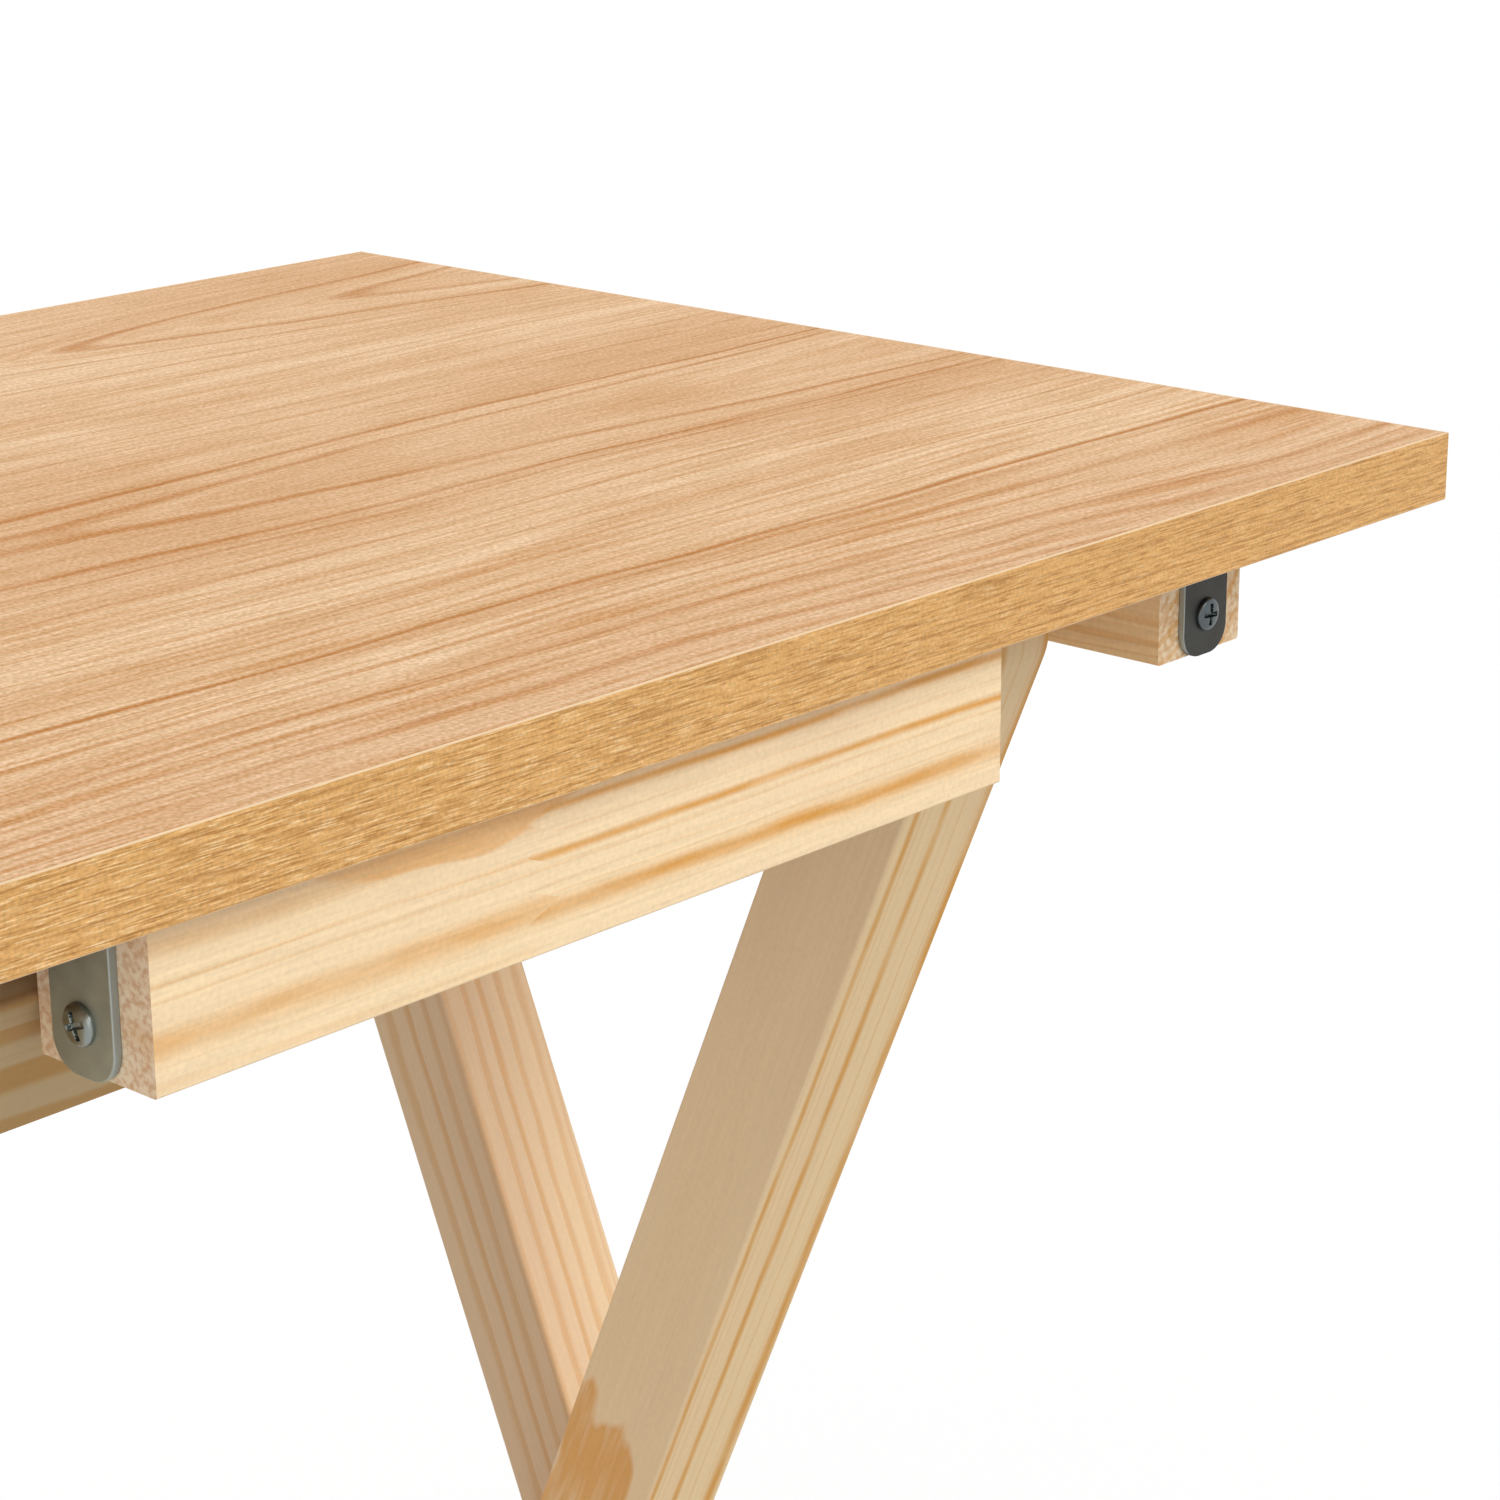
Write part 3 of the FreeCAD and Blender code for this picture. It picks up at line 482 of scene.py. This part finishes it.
def resin_flame(tree, stick, mm, spot):
    """Strength of a dark patch with a ragged outline and streaks, close under one face."""
    place, side, half_length, half_width, strength = stick.flame
    flame = node(tree, "Mapping", {"Vector": mm, "Scale": per_mm(26, 9, 9)})
    flame = node(tree, "TexNoise", {"Vector": flame, "Scale": 1.0, "Detail": 0.5})
    from_side = node(tree, "MapRange", {"Value": spot["Y"], "From Min": side,
                                        "From Max": side + half_width, "To Max": 1.0},
                     clamp=False)
    from_end = node(tree, "MapRange", {"Value": spot["X"], "From Min": place,
                                       "From Max": place + half_length, "To Max": 1.0},
                    clamp=False)
    reach = node(tree, "CombineXYZ", {"X": from_side, "Y": from_end})
    reach = node(tree, "VectorMath", {0: reach}, operation="LENGTH").node.outputs["Value"]
    reach = node(tree, "Math", {0: flame, 1: 1.3, 2: reach}, operation="MULTIPLY_ADD")
    inside = node(tree, "MapRange", {"Value": reach, "From Min": 1.68, "From Max": 1.54,
                                     "To Max": strength})
    streak = node(tree, "Mapping", {"Vector": mm, "Scale": per_mm(30, 2.5, 8)})
    streak = node(tree, "TexNoise", {"Vector": streak, "Scale": 1.0, "Detail": 2.0})
    streak = node(tree, "MapRange", {"Value": streak, "From Min": 0.3, "From Max": 0.55,
                                     "To Min": 0.45})
    inside = node(tree, "Math", {0: inside, 1: streak}, operation="MULTIPLY")
    skin_deep = node(tree, "MapRange", {"Value": spot["Z"], "From Min": 11.0, "From Max": 15.0})
    return node(tree, "Math", {0: inside, 1: skin_deep}, operation="MULTIPLY")


def pine(name, look, stick, centre, turn, planed):
    """Pine sawn from near the outside of a log; planed sticks are smoother than sawn ones.

    It gives cream early wood with orange lines along the stick, and rough pinkish ends.
    """
    material, tree, skin = surface(name)
    coords = node(tree, "TexCoord", {}).node.outputs
    mm = node(tree, "Mapping", {"Vector": coords["Object"], "Location": centre, "Rotation": turn,
                                "Scale": (MM, MM, MM)}, vector_type="TEXTURE")

    # Distance from the middle of the log, with a long and a short waver
    stray = node(tree, "Mapping", {"Vector": mm, "Scale": per_mm(170, 45, 45)})
    stray = node(tree, "TexNoise", {"Vector": stray, "Scale": 1.0, "Detail": 2.0})
    stray = node(tree, "MapRange", {"Value": stray, "To Min": -stick.wander,
                                    "To Max": stick.wander})
    spot = node(tree, "SeparateXYZ", {"Vector": mm}).node.outputs
    across = node(tree, "Math", {0: spot["Y"], 1: stick.pith[0]}, operation="SUBTRACT")
    through = node(tree, "Math", {0: spot["Z"], 1: stick.pith[1]}, operation="SUBTRACT")
    out = node(tree, "CombineXYZ", {"X": across, "Y": through})
    out = node(tree, "VectorMath", {0: out}, operation="LENGTH").node.outputs["Value"]
    out = node(tree, "Math", {0: out, 1: stray}, operation="ADD")
    out = node(tree, "Math", {0: spot["X"], 1: stick.slope, 2: out}, operation="MULTIPLY_ADD")
    ragged = node(tree, "Mapping", {"Vector": mm, "Scale": per_mm(34, 5, 5)})
    ragged = node(tree, "TexNoise", {"Vector": ragged, "Scale": 1.0, "Detail": 2.0})
    out = node(tree, "Math", {0: ragged, 1: 1.4, 2: out}, operation="MULTIPLY_ADD")

    # Late wood, and faint lines between
    if stick.lines:
        late = drawn_late_wood(tree, stick, mm, spot, out)
    else:
        late = grown_late_wood(tree, stick, stick.ring or look.ring, out)
    faint = node(tree, "TexNoise", {"W": out, "Scale": 1 / 1.5, "Detail": 1.0},
                 noise_dimensions="1D")
    faint = node(tree, "MapRange", {"Value": faint, "From Min": 0.58, "From Max": 0.75,
                                    "To Max": 0.22})
    late = node(tree, "Math", {0: late, 1: faint}, operation="MAXIMUM")

    # The face that the third axis leaves by, which is a leg's left one, may have fewer lines
    left = node(tree, "MapRange", {"Value": spot["Z"], "From Min": LEFT_FACE[0],
                                   "From Max": LEFT_FACE[1]})
    kept = node(tree, "Math", {0: left, 1: -stick.clear, 2: 1.0}, operation="MULTIPLY_ADD")
    late = node(tree, "Math", {0: late, 1: kept}, operation="MULTIPLY")

    # Early wood in two tones
    tone = node(tree, "Mapping", {"Vector": mm, "Scale": per_mm(160, 20, 20)})
    tone = node(tree, "TexNoise", {"Vector": tone, "Scale": 1.0, "Detail": 1.0})
    tone = node(tree, "MapRange", {"Value": tone, "From Min": 0.3, "From Max": 0.7,
                                   "To Min": stick.warm - 0.25, "To Max": stick.warm + 0.25})
    colour = node(tree, "Mix", {"Factor": tone, "A": linear(look.early),
                                "B": linear(look.early_warm)}, data_type="RGBA")
    colour = node(tree, "Mix", {"Factor": late, "A": colour, "B": linear(look.late)},
                  data_type="RGBA")
    if stick.flame:
        patch = resin_flame(tree, stick, mm, spot)
        colour = node(tree, "Mix", {"Factor": patch, "A": colour, "B": linear(look.flame)},
                      data_type="RGBA")

    # Fibres are drawn coarser than they are, so that they show
    rough = 0.04 if planed else 0.1
    fibre = node(tree, "Mapping", {"Vector": mm, "Scale": per_mm(26, 0.9, 0.9)})
    fibre = node(tree, "TexNoise", {"Vector": fibre, "Scale": 1.0, "Detail": 2.0})
    mottle = node(tree, "TexNoise", {"Vector": mm, "Scale": 1 / 1.2, "Detail": 3.0})
    shade = node(tree, "Math", {0: fibre, 1: mottle}, operation="ADD")
    shade = node(tree, "MapRange", {"Value": shade, "From Min": 0.6, "From Max": 1.4,
                                    "To Min": (1 - rough) * stick.tone,
                                    "To Max": (1 + rough) * stick.tone})
    # Painted light and shade: the face that looks to the left is made lighter on some sticks and
    # darker on others, for how the lamps fall on it
    painted_left_light = node(tree, "Math", {0: left, 1: stick.painted_left_light - 1, 2: 1.0}, operation="MULTIPLY_ADD")
    shade = node(tree, "Math", {0: shade, 1: painted_left_light}, operation="MULTIPLY")
    colour = node(tree, "HueSaturation", {"Value": shade, "Color": colour})

    # Sawn ends
    pores = node(tree, "TexNoise", {"Vector": mm, "Scale": 1 / 1.6, "Detail": 3.0})
    spots = node(tree, "MapRange", {"Value": pores, "From Min": 0.42, "From Max": 0.64})
    sawn_end = node(tree, "Mix", {"Factor": spots, "A": linear(look.end_pale),
                                  "B": linear(look.end_dark)}, data_type="RGBA")
    rings = node(tree, "Math", {0: late, 1: stick.end_rings}, operation="MULTIPLY")
    sawn_end = node(tree, "Mix", {"Factor": rings, "A": sawn_end, "B": linear(look.late)},
                    data_type="RGBA")
    facing = node(tree, "Mapping", {"Vector": coords["Normal"], "Rotation": turn},
                  vector_type="TEXTURE")
    facing = node(tree, "SeparateXYZ", {"Vector": facing}).node.outputs["X"]
    facing = node(tree, "Math", {0: facing}, operation="ABSOLUTE")
    end = node(tree, "MapRange", {"Value": facing, "From Min": 0.75, "From Max": 0.9})
    colour = node(tree, "Mix", {"Factor": end, "A": colour, "B": sawn_end}, data_type="RGBA")
    # Painted light: sticks in shade get a fuller colour, for the warm light that the wood around
    # them reflects
    rich = node(tree, "MapRange", {"Value": left, "To Min": stick.rich, "To Max": 1.0})
    colour = node(tree, "HueSaturation", {"Saturation": rich, "Color": colour})
    tree.links.new(colour, skin["Base Color"])
    skin["Roughness"].default_value = 0.55 if planed else 0.68
    skin["Specular IOR Level"].default_value = 0.3
    nap = node(tree, "Mix", {"Factor": end, "A": fibre, "B": pores}, data_type="FLOAT")
    bump = node(tree, "Bump", {"Height": nap, "Strength": 0.12 if planed else 0.3,
                               "Distance": 0.15 * MM})
    tree.links.new(bump, skin["Normal"])
    return material


# Steel
def zinc_plated_steel(name, coat, cloud, edge_highlight, highlight_axis):
    """Pressed steel with a passivated zinc coat.

    It gives a satin grey with an olive cast, faint clouds, and brighter edges along one axis:
    sheared steel, and partly a painted highlight.
    """
    material, tree, skin = surface(name)
    coords = node(tree, "TexCoord", {}).node.outputs
    clouds = node(tree, "TexNoise", {"Vector": coords["Object"], "Scale": 1 / (9 * MM),
                                     "Detail": 3.0})
    clouds = node(tree, "MapRange", {"Value": clouds, "From Min": 0.3, "From Max": 0.7})
    colour = node(tree, "Mix", {"Factor": clouds, "A": linear(coat), "B": linear(cloud)},
                  data_type="RGBA")
    # Partly painted highlight: the edges that face one chosen way take a brighter colour, for
    # sheared steel and for where the light catches them
    facing = node(tree, "SeparateXYZ", {"Vector": coords["Normal"]}).node.outputs[highlight_axis]
    facing = node(tree, "Math", {0: facing}, operation="ABSOLUTE")
    edge = node(tree, "MapRange", {"Value": facing, "From Min": 0.5, "From Max": 0.8})
    colour = node(tree, "Mix", {"Factor": edge, "A": colour, "B": linear(edge_highlight)},
                  data_type="RGBA")
    tree.links.new(colour, skin["Base Color"])
    grain = node(tree, "TexNoise", {"Vector": coords["Object"], "Scale": 1 / (0.8 * MM),
                                    "Detail": 2.0})
    dull = node(tree, "MapRange", {"Value": grain, "To Min": 0.56, "To Max": 0.68})
    tree.links.new(dull, skin["Roughness"])
    skin["Metallic"].default_value = 1.0
    return material


def screw_steel(name, inner, outer, border):
    """Zinc-plated turned steel, with one colour by the table's middle and one past a border.

    It gives clean highlights on heads and washers.
    """
    material, tree, skin = surface(name)
    coords = node(tree, "TexCoord", {}).node.outputs
    # Painted shade: past the border the pan heads take a darker colour, for the dark surroundings
    # that the rails' screws mirror
    side = node(tree, "SeparateXYZ", {"Vector": coords["Object"]}).node.outputs["X"]
    side = node(tree, "Math", {0: side}, operation="ABSOLUTE")
    side = node(tree, "Math", {0: side, 1: border}, operation="GREATER_THAN")
    coat = node(tree, "Mix", {"Factor": side, "A": linear(inner), "B": linear(outer)},
                data_type="RGBA")
    tree.links.new(coat, skin["Base Color"])
    skin["Metallic"].default_value = 1.0
    skin["Roughness"].default_value = 0.3
    return material


def soften(piece, radius):
    """Round the sharp edges of a CAD node by modifiers, which leave its own mesh as it is."""
    weld = piece.modifiers.new("weld", "WELD")
    weld.merge_threshold = 0.002 * MM
    flat = piece.modifiers.new("flat", "DECIMATE")
    flat.decimate_type = "DISSOLVE"
    flat.angle_limit = math.radians(0.5)
    bevel = piece.modifiers.new("round", "BEVEL")
    bevel.width = radius * MM
    bevel.segments = 3
    bevel.limit_method = "ANGLE"
    bevel.angle_limit = math.radians(40)
    bevel.harden_normals = True


# Bracket screws: lengths in millimetres, angles in degrees
HEAD_RADIUS, HEAD_RIM, HEAD_HEIGHT = 4.3, 0.75, 1.9
DOME_POWER = 2.6                        # more than 2 makes the head flatter than a ball
ARM_HALF_WIDTH, ARM_HALF_SPAN, RECESS_DEPTH = 0.55, 2.7, 1.8
SIDE_WALL, END_WALL = 0.14, 0.2         # widths over which the recess drops
FLOOR_RISE = 0.22                       # of the recess, per length from the middle
HEAD_RINGS, HEAD_SECTORS = 36, 96
SHANK_RADIUS, POINT_RADIUS, POINT_LENGTH = 2.0, 0.6, 6.0
BRACKET_PLATE, HOLE_TO_END = 2.0, 10.9
BATTEN_TO_BORDER = 20.0                 # past it, the pan heads take the darker colour of the rails' brackets: painted shade
FIRST_SPIN, SPIN_STEP = 20, 31          # no two screws stop at the same angle
SCREW_LENGTHS = {"end": 25.0, "board": 15.0}


def smooth_step(value, low, high):
    """Soft change from 0 to 1 between two values."""
    share = min(max((value - low) / (high - low), 0.0), 1.0)
    return share * share * (3 - 2 * share)


def cross_recess(x, y):
    """Depth of the cross recess, deepest in the middle, at a point of the head."""
    depth = 0.0
    for along, across in ((abs(x), abs(y)), (abs(y), abs(x))):
        arm = smooth_step(ARM_HALF_WIDTH + SIDE_WALL / 2 - across, 0.0, SIDE_WALL)
        arm *= smooth_step(ARM_HALF_SPAN + END_WALL / 2 - along, 0.0, END_WALL)
        depth = max(depth, arm * (RECESS_DEPTH - FLOOR_RISE * along))
    return depth


def pan_head_rings(length):
    """Rings of a screw from the middle of its head to its point: radius and height of each."""
    rings = []
    for step in range(1, HEAD_RINGS + 1):
        radius = HEAD_RADIUS * step / HEAD_RINGS
        dome = math.sqrt(max(1 - (radius / HEAD_RADIUS) ** DOME_POWER, 0.0))
        rings.append((radius, HEAD_RIM + (HEAD_HEIGHT - HEAD_RIM) * dome))
    return rings + [(HEAD_RADIUS, 0.0), (SHANK_RADIUS, 0.0),
                    (SHANK_RADIUS, POINT_LENGTH - length), (POINT_RADIUS, -length)]


def add_screw(mesh, length, place, up, spin):
    """Add one pan-head screw to a mesh, its seat at a place and its head pointing up a way."""
    turn = up.to_track_quat("Z", "Y").to_matrix().to_4x4() @ Matrix.Rotation(spin, 4, "Z")
    matrix = Matrix.Translation(place) @ turn @ Matrix.Scale(MM, 4)
    head_top = HEAD_HEIGHT - cross_recess(0.0, 0.0)
    middle_vert = mesh.verts.new(matrix @ Vector((0, 0, head_top)))
    loops = []
    for radius, height in pan_head_rings(length):
        loop = []
        for sector in range(HEAD_SECTORS):
            angle = 2 * math.pi * sector / HEAD_SECTORS
            x, y = radius * math.cos(angle), radius * math.sin(angle)
            drop = cross_recess(x, y) if height > HEAD_RIM else 0.0
            loop.append(mesh.verts.new(matrix @ Vector((x, y, height - drop))))
        loops.append(loop)
    point = mesh.verts.new(matrix @ Vector((0, 0, -length)))
    for k in range(HEAD_SECTORS):
        after = (k + 1) % HEAD_SECTORS
        mesh.faces.new((middle_vert, loops[0][k], loops[0][after]))
        for inner, outer in zip(loops, loops[1:]):
            mesh.faces.new((inner[k], outer[k], outer[after], inner[after]))
        mesh.faces.new((loops[-1][k], point, loops[-1][after]))


def screw_seats(name, kind):
    """Seat and head direction of a bracket's screw, from the bracket's own box."""
    low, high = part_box(name)
    centre = (low + high) / 2
    side = name.split("_")[-1]
    outward = {"left": -X_AXIS, "right": X_AXIS, "near": -Y_AXIS, "far": Y_AXIS}[side]
    half_reach = abs((high - low).dot(outward)) / 2
    heel = centre - outward * half_reach
    if kind == "end":
        heel.z = low.z + HOLE_TO_END * MM
        return heel + outward * BRACKET_PLATE * MM, outward
    seat = centre + outward * (half_reach - HOLE_TO_END * MM)
    seat.z = high.z - BRACKET_PLATE * MM
    return seat, -Z_AXIS


def bracket_names():
    """CAD nodes of the six brackets."""
    return sorted(name for name in frame["nodes"]
                  if name.startswith("bracket_") and not name.endswith("screws"))


# Stage: lengths in metres
LAMP_DISTANCE = 3.0
KEY_WAY, FILL_WAY = (0.17, -0.7, 0.7), (-0.92, -0.37, 0.12)     # from the table to each lamp
FLOOR_DROP = 0.0005             # keeps the floor clear of the feet's own faces
FLOOR_GLOW = 0.45               # brings the floor to white for the eye
SENSOR_WIDTH, CLIP_END = 36.0, 200.0    # the sensor in millimetres


def seen_directly(tree):
    """1 for rays from the camera and for those that a mirror or glass sends on."""
    paths = node(tree, "LightPath", {}).node.outputs
    seen = node(tree, "Math", {0: paths["Is Camera Ray"], 1: paths["Is Glossy Ray"]},
                operation="MAXIMUM")
    return node(tree, "Math", {0: seen, 1: paths["Is Transmission Ray"]}, operation="MAXIMUM")


def white_floor(half):
    """Plain floor that is white to the eye and keeps the soft shadow."""
    material, tree, skin = surface("white_floor")
    skin["Base Color"].default_value = linear("#C4C4C4")
    skin["Roughness"].default_value = 0.9
    glow = node(tree, "Math", {0: seen_directly(tree), 1: FLOOR_GLOW}, operation="MULTIPLY")
    skin["Emission Color"].default_value = linear("#FFFFFF")
    tree.links.new(glow, skin["Emission Strength"])
    mesh = bpy.data.meshes.new("floor")
    corners = [(-half, -half, 0), (half, -half, 0), (half, half, 0), (-half, half, 0)]
    mesh.from_pydata(corners, [], [(0, 1, 2, 3)])
    mesh.materials.append(material)
    floor = bpy.data.objects.new("floor", mesh)
    bpy.context.scene.collection.objects.link(floor)
    floor.location.z = -FLOOR_DROP


def pale_world(sky):
    """World that is white to the eye and lights the table softly."""
    world = bpy.data.worlds.new("studio")
    bpy.context.scene.world = world
    world.use_nodes = True
    tree = world.node_tree
    tree.nodes.clear()
    strength = node(tree, "MapRange", {"Value": seen_directly(tree), "To Min": sky,
                                       "To Max": 1.0})
    light = node(tree, "Background", {"Color": linear("#FFFFFF"), "Strength": strength})
    node(tree, "OutputWorld", {"Surface": light})


def soft_sun(name, toward, strength, spread):
    """Wide, even light that shines from one way, as a far soft box does."""
    data = bpy.data.lights.new(name, "SUN")
    data.energy = strength
    data.angle = spread
    lamp = bpy.data.objects.new(name, data)
    bpy.context.scene.collection.objects.link(lamp)
    lamp.location = Vector(toward) * LAMP_DISTANCE
    lamp.rotation_euler = (-Vector(toward)).to_track_quat("-Z", "Y").to_euler()


def photo_camera(look):
    """Camera with the photograph's place, way and lens."""
    data = bpy.data.cameras.new("camera")
    data.sensor_width = SENSOR_WIDTH
    data.lens = look.lens
    data.clip_end = CLIP_END
    camera = bpy.data.objects.new("camera", data)
    bpy.context.scene.collection.objects.link(camera)
    ahead = Vector((math.sin(look.yaw) * math.cos(look.pitch),
                    math.cos(look.yaw) * math.cos(look.pitch), -math.sin(look.pitch)))
    right = Vector((math.cos(look.yaw), -math.sin(look.yaw), 0.0))
    below = ahead.cross(right)
    turned = right * math.cos(look.roll) - below * math.sin(look.roll)
    below = right * math.sin(look.roll) + below * math.cos(look.roll)
    matrix = Matrix((turned, -below, -ahead)).transposed().to_4x4()
    matrix.translation = Vector(look.eye)
    camera.matrix_world = matrix
    bpy.context.scene.camera = camera


# Sticks: how each one lies and how it was sawn
LEG_ALONG = {"inner": (0, -math.sin(LEAN), math.cos(LEAN)),
             "outer": (0, math.sin(LEAN), math.cos(LEAN))}
LEG_ACROSS = {"inner": (0, math.cos(LEAN), math.sin(LEAN)),
              "outer": (0, math.cos(LEAN), -math.sin(LEAN))}
LEG_STICKS = {
    # Painted light and shade: this leg is toned darker with a fuller colour and a lighter left
    # face, for how the lamps fall on its faces
    "inner_leg_right": Stick((0, -62), warm=0.0, tone=0.87, wander=1.0, painted_left_light=1.06, clear=0.9,
                             slope=0.014, rich=1.12, flame=(85, 3, 40, 17, 0.95),
                             lines=((82.7, 2.0, 0.8), (71.2, 2.3, 0.8), (54.2, 3.6, 0.85),
                                    (63.5, 0.8, 0.25))),
    "inner_leg_left": Stick((-50, 40), ring=6.2, warm=0.3),
    # Painted shade: this leg's left face is darker, as it lies in the shade of the inner leg and
    # the batten
    "outer_leg_right": Stick((34, -40), ring=4.6, warm=0.6, late=0.55, tone=1.03, wander=2.0,
                             painted_left_light=0.78),
    "outer_leg_left": Stick((-46, -30), ring=5.2, warm=0.6),
}
BAR_STICKS = {
    # Painted shade: this crossbar is toned far darker and fuller, as it lies in the shade behind
    # the batten
    "inner_top_crossbar": Stick((34, -40), ring=7.3, share=0.42, warm=0.0, late=0.68, tone=0.59,
                                rich=1.18),
    "inner_low_crossbar": Stick((-40, 46), ring=5.7, warm=0.35),
}
BATTEN = Stick((-60, 0), warm=0.1, wander=1.6, joint=(-28, 9, 7), flame=(-48, 14, 34, 5, 0.6),
               lines=((74.0, 3.6, 0.4), (66.6, 0.7, 0.4), (63.6, 0.6, 0.25), (55.6, 4.6, 0.68),
                      (48.0, 1.5, 0.2)),
               beyond=((75.4, 1.7, 0.95), (66.2, 1.6, 0.95), (54.7, 3.4, 1.0), (70.5, 0.6, 0.2),
                       (60.0, 0.7, 0.2)))


# Operators
class DressTop(bpy.types.Operator):
    """Print the laminate on the board and the foil on its edges."""

    bl_idname = "folding_table.dress_top"
    bl_label = "Board and edge bands"

    def execute(self, context):
        look = context.scene.folding_table.laminate
        dress(["top_board"], oak_print_laminate(look))
        dress([f"edge_band_{end}" for end in ("near", "far", *SIDES)], edge_band_foil(look))
        return {"FINISHED"}


class DressMembers(bpy.types.Operator):
    """Give the batten, the rails and the low slat their sawn pine."""

    bl_idname = "folding_table.dress_members"
    bl_label = "Batten, rails and slat"

    def execute(self, context):
        look = context.scene.folding_table.pine
        turn = axes_turn(X_AXIS, Z_AXIS)
        dress(["stop_batten"],
              pine("sawn_pine_batten", look, BATTEN, middle("stop_batten"), turn, planed=False))
        for side, pith in (("left", (-38, 44)), ("right", (40, 36))):
            name = f"rail_{side}"
            turn = axes_turn(Y_AXIS, -X_AXIS)
            # Painted light: the rails' fuller colour stands in for warm light reflected into their
            # shade
            rail = Stick(pith, ring=6.2, late=0.4, end_rings=1.4, rich=1.12)
            dress([name], pine(f"sawn_pine_{name}", look, rail, middle(name), turn, planed=False))
        slat = Stick((60, 18), ring=5.7)
        turn = axes_turn(X_AXIS, LEG_ACROSS["outer"])
        dress(["outer_low_slat"],
              pine("sawn_pine_slat", look, slat, middle("outer_low_slat"), turn, planed=False))
        return {"FINISHED"}


class DressLegs(bpy.types.Operator):
    """Give the four legs and the two crossbars their planed pine."""

    bl_idname = "folding_table.dress_legs"
    bl_label = "Legs and crossbars"

    def execute(self, context):
        look = context.scene.folding_table.pine
        for name, stick in LEG_STICKS.items():
            kind = name.split("_")[0]
            turn = axes_turn(LEG_ALONG[kind], LEG_ACROSS[kind])
            centre = Vector((middle(name).x, CROSSING.y, CROSSING.z))
            dress([name], pine(f"planed_pine_{name}", look, stick, centre, turn, planed=True))
        for name, stick in BAR_STICKS.items():
            turn = axes_turn(X_AXIS, LEG_ACROSS["inner"])
            dress([name], pine(f"planed_pine_{name}", look, stick, middle(name), turn, planed=True))
        return {"FINISHED"}


class DressBrackets(bpy.types.Operator):
    """Give the six brackets their zinc coat and rounded edges."""

    bl_idname = "folding_table.dress_brackets"
    bl_label = "Brackets"

    def execute(self, context):
        look = context.scene.folding_table.steel
        light = zinc_plated_steel("zinc_plated_steel", look.zinc, look.clouds, look.sheared_edge_highlight, "Y")
        # Painted shade: the rails' brackets get a darker zinc that stands in for the dark
        # surroundings they mirror
        dark = zinc_plated_steel("painted_shade_zinc_plated_steel", look.painted_shade_zinc, look.painted_shade_clouds,
                                 look.sheared_edge_highlight, "X")
        for name in bracket_names():
            dress([name], light if name.endswith(SIDES) else dark)
            soften(frame["nodes"][name], look.edge)
        return {"FINISHED"}


class DressFasteners(bpy.types.Operator):
    """Make the bracket screws, and give all screws, bolts, washers and nuts their steel."""

    bl_idname = "folding_table.dress_fasteners"
    bl_label = "Screws, bolts and washers"

    def execute(self, context):
        look = context.scene.folding_table.steel
        past_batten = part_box("stop_batten")[1].x + BATTEN_TO_BORDER * MM
        bright = screw_steel("screw_steel", look.bright, look.bright, past_batten)
        # Painted shade: the pan heads by the rails get the darker colour
        pan_heads = screw_steel("bracket_screw_steel", look.bright, look.painted_shade_screws,
                                past_batten)
        kinds = ("screws", "bolts", "washers", "spacers", "nuts")
        dress([name for name in frame["nodes"] if name.endswith(kinds)], bright)
        for name in frame["nodes"]:
            if name.endswith(kinds) and "pivot" in name:
                soften(frame["nodes"][name], look.edge)
        for kind, length in SCREW_LENGTHS.items():
            mesh = bmesh.new()
            for index, name in enumerate(bracket_names()):
                seat, up = screw_seats(name, kind)
                spin = math.radians(FIRST_SPIN + SPIN_STEP * index)
                add_screw(mesh, length, seat, up, spin)
            bmesh.ops.recalc_face_normals(mesh, faces=mesh.faces)
            data = bpy.data.meshes.new(f"pan_head_{kind}_screws")
            mesh.to_mesh(data)
            mesh.free()
            data.materials.append(pan_heads)
            data.shade_smooth()
            data.set_sharp_from_angle(angle=math.radians(50))
            screws = bpy.data.objects.new(data.name, data)
            context.scene.collection.objects.link(screws)
            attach(screws, "top")
            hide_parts(f"bracket_{kind}_screws")
        return {"FINISHED"}


class SetStage(bpy.types.Operator):
    """Lay the floor, light the table and place the camera."""

    bl_idname = "folding_table.set_stage"
    bl_label = "Stage"

    def execute(self, context):
        look = context.scene.folding_table.stage
        context.scene.view_settings.view_transform = "Standard"
        white_floor(look.floor)
        pale_world(look.sky)
        soft_sun("key", KEY_WAY, look.key, look.key_spread)
        soft_sun("fill", FILL_WAY, look.fill, look.fill_spread)
        photo_camera(look)
        return {"FINISHED"}


class TablePanel(bpy.types.Panel):
    """Sidebar list of the table's groups."""

    bl_idname = "VIEW3D_PT_folding_table"
    bl_label = "Folding trestle table"
    bl_space_type = "VIEW_3D"
    bl_region_type = "UI"
    bl_category = "Table"

    def draw(self, context):
        for step in STEPS:
            self.layout.operator(step.bl_idname)


STEPS = (DressTop, DressMembers, DressLegs, DressBrackets, DressFasteners, SetStage)
CLASSES = (LaminateLook, PineLook, SteelLook, StageLook, TableLook, *STEPS, TablePanel)


def register():
    """Make the table's settings, operators and panel known."""
    for entry in CLASSES:
        bpy.utils.register_class(entry)
    bpy.types.Scene.folding_table = bpy.props.PointerProperty(type=TableLook)


def unregister():
    """Take the table's settings, operators and panel away."""
    del bpy.types.Scene.folding_table
    for entry in reversed(CLASSES):
        bpy.utils.unregister_class(entry)


def main():
    """Dress the table and set the stage."""
    register()
    for step in STEPS:
        group, name = step.bl_idname.split(".")
        getattr(getattr(bpy.ops, group), name)()


if __name__ == "__main__":
    main()
